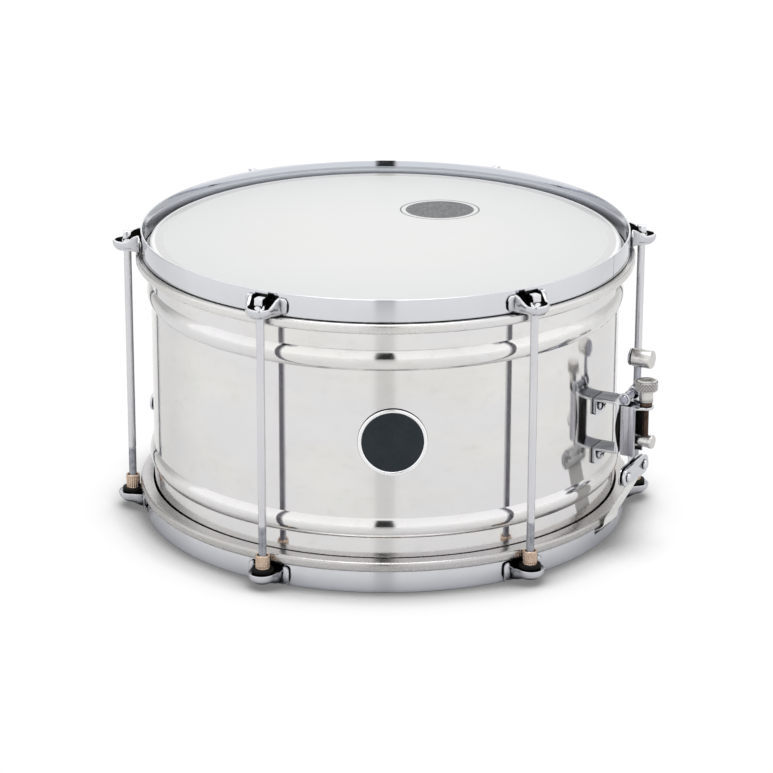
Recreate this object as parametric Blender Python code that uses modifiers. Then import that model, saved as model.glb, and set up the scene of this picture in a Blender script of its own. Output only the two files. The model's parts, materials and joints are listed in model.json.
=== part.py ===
"""Small marching drum (caixa): a beaded aluminium shell, two heads on flat
metal rings, two flat chromed hoops drawn together by six long rods, and a
set of snare wires under the bottom head with a throw-off strainer.

Units are metres and +Z is up. The origin is on the shell's axis at floor level.
Angles are measured round the axis from the front (-Y) towards the right (+X).
The six rods stand at 30, 90, 150, 210, 270 and 330 degrees, the throw-off at
60 degrees and the butt end of the snares at 240 degrees.
"""
import math

import bmesh
import bpy
from mathutils import Matrix, Vector

MM = 0.001

# ---------------------------------------------------------------- dimensions
HEIGHT = 190.0          # overall height, hoop edge to hoop edge
SEG = 36                # sides of the big round pieces

SHELL_R = 151.5         # outside of the plain shell wall
SHELL_WALL = 1.6
BEAD_RISE = 2.6         # how far the two rolled beads stand proud
BEAD_Z = 40.4           # centre of the lower bead (the upper one mirrors it)
BEAD_HALF = 6.6

HOOP_R = 157.5          # outside of the flat hoops
HOOP_WALL = 2.0
HOOP_H = 14.4

RING_RO = 160.9         # head ring, which sits under the hoop
RING_RI = 152.4
RING_H = 6.3

HEAD_DROP = 7.4         # playing surface below the hoop's edge
FILM = 0.6

ROD_CIRCLE = 166.0
ROD_R = 2.5
ROD_ANGLES = (30, 90, 150, 210, 270, 330)

STRAINER_ANGLE = 60.0
BUTT_ANGLE = 240.0

# throw-off, in its own frame: x out from the drum's axis, y along the shell
SCREW_N = 184.3         # axis of the tension screw
LEVER_N, LEVER_Z = 172.5, 101.5
LEVER_Y = 12.0
HANDLE_Z = 123.5
BARREL_Z = 73.5
CLAMP_Z0, CLAMP_Z1 = 46.2, 58.4
STRAP_HALF = 10.5
STRAP_T = 0.7

# ---------------------------------------------------------------- clean start
for ob in list(bpy.data.objects):
    bpy.data.objects.remove(ob, do_unlink=True)

SCENE = bpy.context.scene
PARTS = bpy.data.collections.new("caixa_drum")
SCENE.collection.children.link(PARTS)


# ---------------------------------------------------------------- materials
def material(name, rgb, rough, metal):
    m = bpy.data.materials.new(name)
    m.use_nodes = True
    b = m.node_tree.nodes["Principled BSDF"]
    b.inputs["Base Color"].default_value = (*rgb, 1.0)
    b.inputs["Roughness"].default_value = rough
    b.inputs["Metallic"].default_value = metal
    m.diffuse_color = (*rgb, 1.0)
    return m


ALUMINIUM = ("aluminium", (0.82, 0.81, 0.79), 0.28, 1.0)
RING_AL = ("ring_aluminium", (0.83, 0.82, 0.78), 0.35, 1.0)
CHROME = ("chrome", (0.80, 0.81, 0.83), 0.10, 1.0)
FILM_WHITE = ("head_film", (0.88, 0.88, 0.86), 0.45, 0.0)
STEEL = ("rod_steel", (0.70, 0.71, 0.74), 0.22, 1.0)
BRASS = ("nut_bronze", (0.66, 0.47, 0.33), 0.35, 1.0)
BLACK = ("black_rubber", (0.02, 0.02, 0.02), 0.6, 0.0)
BADGE = ("badge_enamel", (0.03, 0.04, 0.05), 0.25, 0.0)
NICKEL = ("nickel", (0.74, 0.72, 0.68), 0.25, 1.0)
BROWN = ("screw_brown", (0.30, 0.20, 0.15), 0.4, 1.0)
STRAP_W = ("snare_strap", (0.85, 0.84, 0.80), 0.5, 0.0)
WIRE = ("snare_wire", (0.72, 0.72, 0.73), 0.3, 1.0)


# ---------------------------------------------------------------- mesh helpers
def tidy(me, smooth_angle=None):
    """Weld, point the faces out and set the shading."""
    bm = bmesh.new()
    bm.from_mesh(me)
    bmesh.ops.remove_doubles(bm, verts=bm.verts, dist=2e-6)
    bmesh.ops.recalc_face_normals(bm, faces=bm.faces)
    bm.to_mesh(me)
    bm.free()
    if smooth_angle:
        me.shade_smooth()
        me.set_sharp_from_angle(angle=math.radians(smooth_angle))
    return me


def evaluated(ob):
    """The object's mesh with its modifiers applied, welded, in its own frame."""
    bpy.context.view_layer.update()
    dg = bpy.context.evaluated_depsgraph_get()
    me = bpy.data.meshes.new_from_object(ob.evaluated_get(dg))
    bpy.data.objects.remove(ob, do_unlink=True)
    return me


def temp(me, name="temp"):
    ob = bpy.data.objects.new(name, me)
    SCENE.collection.objects.link(ob)
    return ob


def turned(profile, seg, angle=30):
    """A turned solid: (radius, height) points in mm, down the outer side first."""
    me = bpy.data.meshes.new("profile")
    pts = [(r * MM, 0.0, z * MM) for r, z in profile]
    closed = profile[0][0] > 0
    edges = [(i, i + 1) for i in range(len(pts) - 1)]
    if closed:
        edges.append((len(pts) - 1, 0))
    me.from_pydata(pts, edges, [])
    ob = temp(me)
    sc = ob.modifiers.new("turn", "SCREW")
    sc.axis = "Z"
    sc.angle = 2 * math.pi
    sc.steps = seg
    sc.render_steps = seg
    sc.use_merge_vertices = True
    sc.merge_threshold = 0.00001
    return tidy(evaluated(ob), angle)


def box(x0, x1, y0, y1, z0, z1, bevel=0.0, segments=1):
    bm = bmesh.new()
    bmesh.ops.create_cube(bm, size=1.0)
    for v in bm.verts:
        v.co.x = (x0 + (v.co.x + 0.5) * (x1 - x0)) * MM
        v.co.y = (y0 + (v.co.y + 0.5) * (y1 - y0)) * MM
        v.co.z = (z0 + (v.co.z + 0.5) * (z1 - z0)) * MM
    if bevel:
        bmesh.ops.bevel(bm, geom=list(bm.edges), offset=bevel * MM,
                        segments=segments, profile=0.5, affect="EDGES")
    me = bpy.data.meshes.new("box")
    bm.to_mesh(me)
    bm.free()
    return tidy(me)


def cylinder(r, z0, z1, seg, r_top=None):
    bm = bmesh.new()
    bmesh.ops.create_cone(bm, cap_ends=True, segments=seg, radius1=r * MM,
                          radius2=(r if r_top is None else r_top) * MM,
                          depth=(z1 - z0) * MM)
    bmesh.ops.translate(bm, verts=bm.verts, vec=(0, 0, (z0 + z1) / 2 * MM))
    me = bpy.data.meshes.new("cylinder")
    bm.to_mesh(me)
    bm.free()
    return tidy(me, 30)


def plate(outline, z0, z1):
    """A flat outline of (x, y) points in mm, as a filled 2D curve with depth."""
    cu = bpy.data.curves.new("outline", "CURVE")
    cu.dimensions = "2D"
    cu.fill_mode = "BOTH"
    cu.extrude = (z1 - z0) / 2 * MM
    sp = cu.splines.new("POLY")
    sp.points.add(len(outline) - 1)
    for p, (x, y) in zip(sp.points, outline):
        p.co = (x * MM, y * MM, 0.0, 1.0)
    sp.use_cyclic_u = True
    ob = bpy.data.objects.new("outline", cu)
    SCENE.collection.objects.link(ob)
    me = evaluated(ob)
    bpy.data.curves.remove(cu)
    me.transform(Matrix.Translation((0, 0, (z0 + z1) / 2 * MM)))
    return tidy(me, 30)


def moved(me, x=0.0, y=0.0, z=0.0, rot=None):
    """A mesh turned by a matrix, then shifted by mm."""
    if rot is not None:
        me.transform(rot)
    me.transform(Matrix.Translation((x * MM, y * MM, z * MM)))
    me.update()
    return me


ALONG_X = Matrix.Rotation(math.radians(90), 4, "Y")    # +Z of the mesh to +X
ALONG_Y = Matrix.Rotation(math.radians(-90), 4, "X")   # +Z of the mesh to +Y
# a plate drawn in x, y stands up as x, z with its depth along -y
UPRIGHT_XZ = Matrix.Rotation(math.radians(90), 4, "X")
# a plate drawn as (y, z) stands across the radius, with its depth along x
UPRIGHT_YZ = Matrix(((0, 0, 1, 0), (1, 0, 0, 0), (0, 1, 0, 0), (0, 0, 0, 1)))


def combine(base, *steps, angle=30):
    """Boolean steps on a mesh: pairs of UNION or DIFFERENCE and a mesh."""
    ob = temp(base, "work")
    tools = []
    for kind, me in steps:
        t = temp(me, "tool")
        t.hide_render = True
        t.display_type = "WIRE"
        tools.append(t)
        m = ob.modifiers.new(kind.lower(), "BOOLEAN")
        m.operation = kind
        m.solver = "EXACT"
        m.object = t
    me = evaluated(ob)
    for t in tools:
        bpy.data.objects.remove(t, do_unlink=True)
    bm = bmesh.new()
    bm.from_mesh(me)
    bmesh.ops.remove_doubles(bm, verts=bm.verts, dist=2e-6)
    bmesh.ops.dissolve_limit(bm, angle_limit=math.radians(0.3),
                             verts=bm.verts, edges=bm.edges)
    bmesh.ops.recalc_face_normals(bm, faces=bm.faces)
    bm.to_mesh(me)
    bm.free()
    me.shade_smooth()
    me.set_sharp_from_angle(angle=math.radians(angle))
    return me


MATS = {}


def add(name, me, mat, parent=None, loc=(0, 0, 0), rot_z=0.0):
    if mat[0] not in MATS:
        MATS[mat[0]] = material(*mat)
    ob = bpy.data.objects.new(name, me)
    if not me.materials:
        me.materials.append(MATS[mat[0]])
    ob.location = [c * MM for c in loc]
    ob.rotation_euler = (0, 0, math.radians(rot_z))
    PARTS.objects.link(ob)
    if parent is not None:
        ob.parent = parent
    return ob


def empty(name, rot_z=0.0, parent=None, loc=(0, 0, 0)):
    ob = bpy.data.objects.new(name, None)
    ob.rotation_euler = (0, 0, math.radians(rot_z))
    ob.location = [c * MM for c in loc]
    ob.empty_display_size = 0.02
    PARTS.objects.link(ob)
    if parent is not None:
        ob.parent = parent
    return ob


def mirrored(profile):
    """The same profile seen from the other end of the drum."""
    return [(r, HEIGHT - z) for r, z in reversed(profile)]


def arc(r, half_width, count, reverse=False):
    """Points on a circle about the drum's axis, from -half_width to +half_width."""
    top = math.asin(half_width / r)
    pts = [(r * math.cos(a), r * math.sin(a))
           for a in (top * (2 * i / (count - 1) - 1) for i in range(count))]
    return pts[::-1] if reverse else pts


def rounded(x0, x1, y0, y1, rad, n=4):
    """A rectangle with rounded corners."""
    pts = []
    for cx, cy, a0 in ((x1 - rad, y1 - rad, 0), (x0 + rad, y1 - rad, 90),
                       (x0 + rad, y0 + rad, 180), (x1 - rad, y0 + rad, 270)):
        for i in range(n):
            a = math.radians(a0 + 90 * i / (n - 1))
            pts.append((cx + rad * math.cos(a), cy + rad * math.sin(a)))
    return pts


ROOT = empty("drum_axis")
strainer = empty("strainer_frame", STRAINER_ANGLE - 90, ROOT)
butt = empty("butt_frame", BUTT_ANGLE - 90, ROOT)

# ---------------------------------------------------------------- shell
RI = SHELL_R - SHELL_WALL


def bead(zc, inner=False):
    """Points down one rolled bead: an arc that meets the wall at a crisp line."""
    if inner:
        return [(RI, zc + BEAD_HALF), (RI + BEAD_RISE, zc), (RI, zc - BEAD_HALF)]
    pts = []
    for i in range(7):
        u = 1 - i / 3
        pts.append((SHELL_R + BEAD_RISE * (1 - abs(u) ** 2.2), zc + BEAD_HALF * u))
    return pts


Z_UP = HEIGHT - BEAD_Z
edge = [(149.9, 181.4), (150.9, 181.0), (SHELL_R, 179.8)]
edge_in = [(RI, 179.0), (149.5, 180.8)]
outer = edge + bead(Z_UP) + bead(BEAD_Z) + [(r, HEIGHT - z) for r, z in reversed(edge)]
inner = ([(r, HEIGHT - z) for r, z in reversed(edge_in)] +
         bead(BEAD_Z, True)[::-1] + bead(Z_UP, True)[::-1] + edge_in)
shell_mesh = turned(outer + inner, SEG)
SCREW_HOLES = [(STRAINER_ANGLE, 93.2), (STRAINER_ANGLE, 60.2), (BUTT_ANGLE, 66.0)]
steps = []
for ang, z in SCREW_HOLES:
    hole = moved(cylinder(2.0, 140, 165, 12), rot=ALONG_X)
    hole = moved(hole, z=z)
    hole.transform(Matrix.Rotation(math.radians(ang - 90), 4, "Z"))
    steps.append(("DIFFERENCE", hole))
add("shell", combine(shell_mesh, *steps), ALUMINIUM, ROOT)

# ---------------------------------------------------------------- heads
RING_TOP = HEIGHT - HOOP_H - 0.4
ring_profile = [(160.1, RING_TOP), (RING_RO, RING_TOP - 1.0),
                (RING_RO, RING_TOP - RING_H + 1.2),
                (159.9, RING_TOP - RING_H), (RING_RI, RING_TOP - RING_H),
                (RING_RI, RING_TOP)]
add("top_head_ring", turned(ring_profile, SEG), RING_AL, ROOT)
add("bottom_head_ring", turned(mirrored(ring_profile), SEG), RING_AL, ROOT)

PLAY = HEIGHT - HEAD_DROP
film_profile = [(0, PLAY), (148.6, PLAY), (151.1, PLAY - 0.5), (152.4, PLAY - 2.2),
                (153.4, RING_TOP + 0.8), (155.0, RING_TOP + 0.8),
                (155.0, RING_TOP + 0.3), (152.8, RING_TOP + 0.3),
                (151.95, PLAY - 2.6), (150.7, PLAY - 0.95),
                (148.4, PLAY - FILM), (0, PLAY - FILM)]
add("batter_head", turned(film_profile, SEG), FILM_WHITE, ROOT)
add("snare_head", turned(mirrored(film_profile), SEG), FILM_WHITE, ROOT)

# ---------------------------------------------------------------- hoops
HI = HOOP_R - HOOP_WALL
hoop_profile = [(HOOP_R - 0.4, HEIGHT), (HOOP_R, HEIGHT - 0.5),
                (HOOP_R, HEIGHT - HOOP_H), (HI, HEIGHT - HOOP_H),
                (HI, HEIGHT - 0.5), (HI + 0.4, HEIGHT)]
add("top_hoop", turned(hoop_profile, SEG), CHROME, ROOT)
gates = []
for ang in (STRAINER_ANGLE, BUTT_ANGLE):
    g = box(150, 162, -13.0, 13.0, 8.9, 13.1)
    g.transform(Matrix.Rotation(math.radians(ang - 90), 4, "Z"))
    gates.append(("DIFFERENCE", g))
add("bottom_hoop", combine(turned(mirrored(hoop_profile), SEG), *gates), CHROME, ROOT)


# ---------------------------------------------------------------- ears
def ear(h_out, h_in, tab_lo, tab_hi, hole_r):
    """Cup-shaped ear, origin on the rod's axis at its floor's outer face,
    +X away from the drum, +Z towards the open side of the cup."""
    back = HOOP_R + 0.3 - ROD_CIRCLE
    n = 8

    def cup(rad, y_back, x_back):
        arc_pts = [(0.9 + rad * math.sin(a), -rad * math.cos(a))
                   for a in (math.pi * i / n for i in range(n + 1))]
        return arc_pts + [(x_back, y_back), (x_back, -y_back)]

    body = plate(cup(8.7, 9.6, back), 0.0, h_in)
    well = plate(cup(7.1, 8.0, back - 3), 2.0, h_in + 5)
    slope = moved(plate([(back - 3, h_in + 0.9), (back, h_in), (2.6, h_out),
                         (12, h_out - 0.2), (12, h_in + 6), (back - 3, h_in + 6)],
                        -15, 15), rot=UPRIGHT_XZ)
    hole = cylinder(hole_r, -3, 6, 12)
    steps = [("DIFFERENCE", well), ("DIFFERENCE", slope), ("DIFFERENCE", hole)]
    for side in (-1, 1):
        tab = moved(plate(rounded(-4.2, 3.6, tab_lo, tab_hi, 2.0, 3), 0.0, 2.0),
                    rot=UPRIGHT_YZ)
        if side < 0:
            tab.transform(Matrix.Scale(-1, 4, (0, 1, 0)))
            tab = tidy(tab)
        tab = moved(tab, x=HOOP_R + 0.3)
        tab.transform(Matrix.Rotation(side * math.radians(4.25), 4, "Z"))
        tab = moved(tab, x=-ROD_CIRCLE)
        steps.append(("UNION", tab))
    return combine(body, *steps)


TOP_FLOOR = 176.5       # underside of the top ears' floor
BOTTOM_FLOOR = 10.2     # upper side of the bottom ears' floor
top_ear = ear(6.2, 11.2, 0.2, 10.8, ROD_R + 0.5)
bottom_ear = ear(6.7, 9.6, -2.6, 9.6, 5.2)
bottom_ear.transform(Matrix.Rotation(math.pi, 4, "X"))

# ---------------------------------------------------------------- rods and nuts
SEAT = TOP_FLOOR + 2.0 + 0.3
rod_profile = [(0, SEAT + 1.8), (3.6, SEAT + 1.8), (4.3, SEAT + 1.2), (4.3, SEAT),
               (ROD_R, SEAT), (ROD_R, 3.6), (ROD_R - 0.7, 2.8), (0, 2.8)]
head = cylinder(4.0, SEAT + 1.0, SEAT + 9.4, 4, 3.75)
head.transform(Matrix.Rotation(math.radians(45), 4, "Z"))
rod_mesh = combine(turned(rod_profile, 12), ("UNION", head))
nut_top = 21.6
nut_mesh = turned([(ROD_R + 0.3 + 1.0, nut_top), (4.5, nut_top - 0.7),
                   (4.5, BOTTOM_FLOOR - 2.3), (5.7, BOTTOM_FLOOR - 2.3),
                   (5.7, BOTTOM_FLOOR - 4.4), (ROD_R + 0.3, BOTTOM_FLOOR - 4.4),
                   (ROD_R + 0.3, nut_top - 0.8)], 12)
washer_mesh = turned([(6.5, BOTTOM_FLOOR + 2.6), (6.9, BOTTOM_FLOOR + 2.1),
                      (6.9, BOTTOM_FLOOR + 0.3), (4.9, BOTTOM_FLOOR + 0.3),
                      (4.9, BOTTOM_FLOOR + 2.6)], 12)
for k, ang in enumerate(ROD_ANGLES, 1):
    a = math.radians(ang)
    x, y = ROD_CIRCLE * math.sin(a), -ROD_CIRCLE * math.cos(a)
    add(f"top_ear_{k}", top_ear, CHROME, ROOT, (x, y, TOP_FLOOR), ang - 90)
    add(f"bottom_ear_{k}", bottom_ear, CHROME, ROOT, (x, y, BOTTOM_FLOOR), ang - 90)
    add(f"tension_rod_{k}", rod_mesh, STEEL, ROOT, (x, y, 0), ang - 90)
    add(f"tension_nut_{k}", nut_mesh, BRASS, ROOT, (x, y, 0), ang - 90)
    add(f"nut_washer_{k}", washer_mesh, BLACK, ROOT, (x, y, 0), ang - 90)

# ---------------------------------------------------------------- badge
BADGE_R, BADGE_Z, BADGE_TURN = 21.7, 97.2, -1.2
disc = moved(cylinder(BADGE_R, 145, 160, 24), rot=ALONG_X)
disc.transform(Matrix.Rotation(math.radians(BADGE_TURN - 90), 4, "Z"))
disc = moved(disc, z=BADGE_Z)
curved = turned([(153.2, 125), (153.2, 70), (151.9, 70), (151.9, 125)], SEG)
add("badge", combine(curved, ("INTERSECT", disc)), BADGE, ROOT)

# ---------------------------------------------------------------- strainer base
SR = SHELL_R + 0.3      # inside of what lies on the shell


def foot(half, z0, z1, thick=1.6):
    return plate(arc(SR + thick, half, 5) + arc(SR, half, 5, True), z0, z1)


def shelf(half, x1, z0, z1):
    return plate([(x1, -half), (x1, half)] + arc(SR, half, 5, True), z0, z1)


def pan_hole(z):
    return moved(moved(cylinder(2.0, 145, 160, 12), rot=ALONG_X), z=z)


ear_outline = ([(166.5, 97.4), (171.0, 98.0), (174.6, 98.0)] +
               [(LEVER_N + 4.6 * math.cos(math.radians(a)),
                 LEVER_Z + 4.6 * math.sin(math.radians(a)))
                for a in (-30, 0, 30, 60, 90, 120)] + [(166.5, 101.0)])
base_steps = [
    ("UNION", shelf(8.0, 168.3, 97.4, 99.0)),
    ("UNION", foot(8.0, 54.2, 65.5)),
    ("UNION", shelf(8.0, 168.3, 64.4, 66.0)),
    ("UNION", box(166.5, 168.3, -8.0, 8.0, 64.5, 98.9)),
    ("UNION", box(166.6, 169.4, -8.0, -6.6, 64.6, 98.8)),
    ("UNION", box(166.6, 169.4, 6.6, 8.0, 64.6, 98.8)),
    ("UNION", moved(plate(ear_outline, 6.6, 8.0), rot=UPRIGHT_XZ)),
    ("UNION", moved(plate(ear_outline, -8.0, -6.6), rot=UPRIGHT_XZ)),
    ("DIFFERENCE", pan_hole(93.2)),
    ("DIFFERENCE", pan_hole(60.2)),
    ("DIFFERENCE", moved(moved(cylinder(2.3, -12, 12, 14), rot=ALONG_Y),
                         x=LEVER_N, z=LEVER_Z)),
]
add("strainer_base", combine(foot(8.0, 87.2, 98.5), *base_steps), CHROME, strainer)

# pan-head screws that hold the brackets to the shell
pan = turned([(0, 156.3), (2.4, 156.1), (3.8, 155.1), (4.1, SR + 1.9), (1.6, SR + 1.9),
              (1.6, 148.6), (0, 148.6)], 14)
pan.transform(ALONG_X)
cross = [("DIFFERENCE", box(155.2, 158, -2.2, 2.2, -0.55, 0.55)),
         ("DIFFERENCE", box(155.2, 158, -0.55, 0.55, -2.2, 2.2))]
pan = combine(pan, *cross)
for name, frame_ob, z in (("strainer_screw_upper", strainer, 93.2),
                          ("strainer_screw_lower", strainer, 60.2),
                          ("butt_screw", butt, 66.0)):
    add(name, pan, NICKEL, frame_ob, (0, 0, z))

# ---------------------------------------------------------------- throw lever
pin = turned([(0, 14.6), (2.8, 14.3), (3.0, 13.4), (2.0, 13.4), (2.0, 10.6),
              (3.4, 10.6), (3.4, 8.3), (2.0, 8.3), (2.0, 6.2), (3.6, 6.2),
              (3.6, -6.2), (2.0, -6.2), (2.0, -8.3), (4.5, -8.3), (4.5, -9.0),
              (3.3, -10.0), (0, -10.4)], 12)
pin.transform(ALONG_Y)
add("lever_pin", pin, CHROME, strainer, (LEVER_N, 0, LEVER_Z))

lever_outline = ([(-0.5, 19.6), (-0.5, 5.6)] +
                 [(4.3 * math.cos(math.radians(a)), 4.3 * math.sin(math.radians(a)))
                  for a in range(130, 411, 35)] + [(2.7, 5.6), (2.7, 19.6)])
lever = moved(plate(lever_outline, -1.1, 1.1), y=LEVER_Y, rot=UPRIGHT_XZ)
lever = combine(lever, ("DIFFERENCE",
                        moved(moved(cylinder(2.3, 8, 16, 14), rot=ALONG_Y))))
add("throw_lever", lever, CHROME, strainer, (LEVER_N, 0, LEVER_Z))

handle = turned([(0, 183.0), (5.0, 183.0), (5.8, 182.2), (5.8, 170.3), (4.6, 170.3),
                 (4.6, 169.3), (5.5, 169.3), (5.5, 168.3), (5.2, 168.0), (0, 168.0)], 18)
handle = moved(handle, rot=ALONG_X)
handle = moved(handle, x=-LEVER_N, y=LEVER_Y, z=HANDLE_Z - LEVER_Z)
handle = combine(handle, ("DIFFERENCE",
                          box(-0.8, 3.0, LEVER_Y - 1.4, LEVER_Y + 1.4, 14.0, 19.9)))
add("lever_handle", handle, NICKEL, strainer, (LEVER_N, 0, LEVER_Z))

# ---------------------------------------------------------------- slide bracket
arm_outline = ([(170.3, 7.5), (170.3, -7.5), (180.0, -7.5)] +
               [(SCREW_N + 5.0 * math.sin(math.radians(a)),
                 -5.0 * math.cos(math.radians(a))) for a in (0, 30, 60, 90, 120, 150, 180)] +
               [(180.0, 7.5)])
slide = combine(plate(arm_outline, 95.3, 97.1),
                ("UNION", box(170.3, 180.0, 6.1, 7.5, 64.0, 97.0)),
                ("UNION", box(170.3, 180.0, -7.5, -6.1, 64.0, 97.0)),
                ("DIFFERENCE", moved(cylinder(2.4, 90, 100, 14), x=SCREW_N)))
add("slide_bracket", slide, CHROME, strainer)

# ---------------------------------------------------------------- tension screw
screw = turned([(0, 110.4), (1.6, 110.4), (2.0, 110.0), (2.0, 99.3), (4.0, 99.3),
                (4.0, 97.5), (2.0, 97.5), (2.0, 71.4), (1.5, 70.8), (0, 70.8)], 14)
add("tension_screw", screw, BROWN, strainer, (SCREW_N, 0, 0))
knob = turned([(0, 113.9), (6.2, 113.6), (7.25, 112.8), (7.25, 108.2), (6.7, 107.5),
               (4.4, 107.5), (4.4, 99.7), (2.3, 99.7), (2.3, 110.7), (0, 110.7)], 20)
add("tension_knob", knob, NICKEL, strainer, (SCREW_N, 0, 0))

# ---------------------------------------------------------------- snare carriage
tee = moved(plate([(4.5, 66.0), (-4.5, 66.0), (-4.5, CLAMP_Z1)] +
                  rounded(-19.5, 19.5, CLAMP_Z0, CLAMP_Z1, 5.5, 5)[5:15] +
                  rounded(-19.5, 19.5, CLAMP_Z0, CLAMP_Z1, 5.5, 5)[15:20] +
                  rounded(-19.5, 19.5, CLAMP_Z0, CLAMP_Z1, 5.5, 5)[0:5] +
                  [(4.5, CLAMP_Z1)], 174.8, 176.0), rot=UPRIGHT_YZ)
PIN_Y = 13.2


def clamp_hole(y, x0=150, x1=190):
    return moved(moved(cylinder(1.8, x0, x1, 12), rot=ALONG_X), y=y,
                 z=(CLAMP_Z0 + CLAMP_Z1) / 2)


carriage = combine(box(169.8, 175.3, -5.5, 5.5, 63.5, 93.5, 1.0),
                   ("UNION", tee),
                   ("DIFFERENCE", clamp_hole(PIN_Y)), ("DIFFERENCE", clamp_hole(-PIN_Y)))
add("snare_carriage", carriage, CHROME, strainer)

barrel = turned([(0, 190.0), (3.6, 190.0), (4.4, 189.3), (4.4, 187.4), (4.1, 187.2),
                 (4.1, 177.4), (3.0, 177.2), (3.0, 175.6), (0, 175.6)], 16)
barrel.transform(ALONG_X)
barrel = combine(moved(barrel, z=BARREL_Z),
                 ("DIFFERENCE", moved(cylinder(2.3, 60, 90, 14), x=SCREW_N)))
add("barrel_nut", barrel, NICKEL, strainer)

outer_plate = combine(
    moved(plate(rounded(-19.5, 19.5, CLAMP_Z0, CLAMP_Z1, 5.5, 5), 177.4, 179.2),
          rot=UPRIGHT_YZ),
    ("DIFFERENCE", clamp_hole(PIN_Y)), ("DIFFERENCE", clamp_hole(-PIN_Y)))
add("strainer_clamp_plate", outer_plate, CHROME, strainer)
clamp_screw = turned([(0, 181.4), (2.2, 181.3), (3.2, 180.6), (3.2, 179.5),
                      (1.5, 179.5), (1.5, 173.4), (0, 173.4)], 14)
clamp_screw.transform(ALONG_X)
for k, y in ((1, -PIN_Y), (2, PIN_Y)):
    add(f"strainer_clamp_screw_{k}", clamp_screw, CHROME, strainer,
        (0, y, (CLAMP_Z0 + CLAMP_Z1) / 2))


# ---------------------------------------------------------------- straps
def strap(path):
    """A flat band that follows (x, z) points, as an open surface with thickness."""
    bm = bmesh.new()
    rows = [[bm.verts.new((x * MM, s * STRAP_HALF * MM, z * MM)) for s in (-1, 1)]
            for x, z in path]
    for a, b in zip(rows, rows[1:]):
        bm.faces.new((a[0], a[1], b[1], b[0]))
    me = bpy.data.meshes.new("strap")
    bm.to_mesh(me)
    bm.free()
    ob = temp(me)
    m = ob.modifiers.new("thickness", "SOLIDIFY")
    m.thickness = STRAP_T * MM
    m.offset = 0.0
    m.use_even_offset = True
    return tidy(evaluated(ob), 40)


UNDER = [(112.0, 6.1), (140.0, 6.1), (150.3, 6.4), (154.0, 9.3), (156.5, 10.9),
         (159.6, 12.6), (162.0, 15.2), (163.0, 20.0)]
add("strainer_strap", strap(UNDER + [(166.4, 26.0), (170.3, 33.0), (174.0, 39.6),
                                     (176.1, 43.8), (176.7, 47.0), (176.7, 55.5)]),
    STRAP_W, strainer)
add("butt_strap", strap(UNDER + [(163.6, 26.0), (164.9, 32.0), (166.0, 37.5),
                                 (166.1, 42.0), (166.1, 50.0)]), STRAP_W, butt)

# ---------------------------------------------------------------- butt end
BZ0, BZ1 = 40.0, 52.2


def butt_hole(y):
    return moved(moved(cylinder(1.8, 160, 175, 12), rot=ALONG_X), y=y, z=(BZ0 + BZ1) / 2)


full = rounded(-19.5, 19.5, BZ0, BZ1, 5.5, 5)
butt_tee = moved(plate([(9.0, 60.0), (-9.0, 60.0), (-9.0, BZ1)] + full[5:20] +
                       full[0:5] + [(9.0, BZ1)], 164.2, 165.4), rot=UPRIGHT_YZ)
butt_bracket = combine(foot(9.0, 58.8, 72.0),
                       ("UNION", shelf(9.0, 165.4, 58.6, 60.1)),
                       ("UNION", butt_tee),
                       ("DIFFERENCE", pan_hole(66.0)),
                       ("DIFFERENCE", butt_hole(PIN_Y)), ("DIFFERENCE", butt_hole(-PIN_Y)))
add("butt_bracket", butt_bracket, CHROME, butt)
butt_plate = combine(moved(plate(full, 166.8, 168.6), rot=UPRIGHT_YZ),
                     ("DIFFERENCE", butt_hole(PIN_Y)), ("DIFFERENCE", butt_hole(-PIN_Y)))
add("butt_clamp_plate", butt_plate, CHROME, butt)
for k, y in ((1, -PIN_Y), (2, PIN_Y)):
    add(f"butt_clamp_screw_{k}", clamp_screw, CHROME, butt,
        (-10.6, y, (BZ0 + BZ1) / 2))

# ---------------------------------------------------------------- snare wires
WIRES = 10
WIRE_R = 0.95
snare_steps = [("UNION", box(103.0, 121.0, -STRAP_HALF, STRAP_HALF, 4.6, 5.4))]
for i in range(WIRES):
    y = (i - (WIRES - 1) / 2) * 2.1
    w = moved(cylinder(WIRE_R, -108, 108, 6), rot=ALONG_X)
    snare_steps.append(("UNION", moved(w, y=y, z=6.05)))
snares = combine(box(-121.0, -103.0, -STRAP_HALF, STRAP_HALF, 4.6, 5.4), *snare_steps)
add("snare_wires", snares, WIRE, strainer)
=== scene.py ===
"""Looks for the small marching drum: fine meshes, procedural finishes, camera and studio."""

import json
import math

import bmesh
import bpy
from mathutils import Matrix, Vector


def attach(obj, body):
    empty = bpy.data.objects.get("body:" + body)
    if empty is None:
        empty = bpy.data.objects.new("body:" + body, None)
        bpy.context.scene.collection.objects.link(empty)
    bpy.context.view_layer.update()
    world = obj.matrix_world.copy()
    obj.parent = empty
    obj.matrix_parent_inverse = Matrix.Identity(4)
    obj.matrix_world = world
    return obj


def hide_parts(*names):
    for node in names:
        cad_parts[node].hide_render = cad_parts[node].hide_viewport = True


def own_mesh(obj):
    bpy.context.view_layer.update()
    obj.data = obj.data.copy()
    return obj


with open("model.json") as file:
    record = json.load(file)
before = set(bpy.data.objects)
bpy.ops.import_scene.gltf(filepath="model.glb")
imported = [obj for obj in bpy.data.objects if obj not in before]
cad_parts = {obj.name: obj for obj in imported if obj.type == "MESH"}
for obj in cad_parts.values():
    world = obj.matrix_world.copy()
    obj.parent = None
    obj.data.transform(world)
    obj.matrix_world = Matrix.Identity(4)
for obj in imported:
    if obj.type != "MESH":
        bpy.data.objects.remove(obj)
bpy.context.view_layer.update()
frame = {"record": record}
MM = 0.001
RODS = (30, 90, 150, 210, 270, 330)
ROD_CIRCLE = 166.0
HEIGHT = 190.0
HOOP_R = 157.5
SHELL_R = 151.5

LOOKS = bpy.data.collections.new("looks")
bpy.context.scene.collection.children.link(LOOKS)


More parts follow.
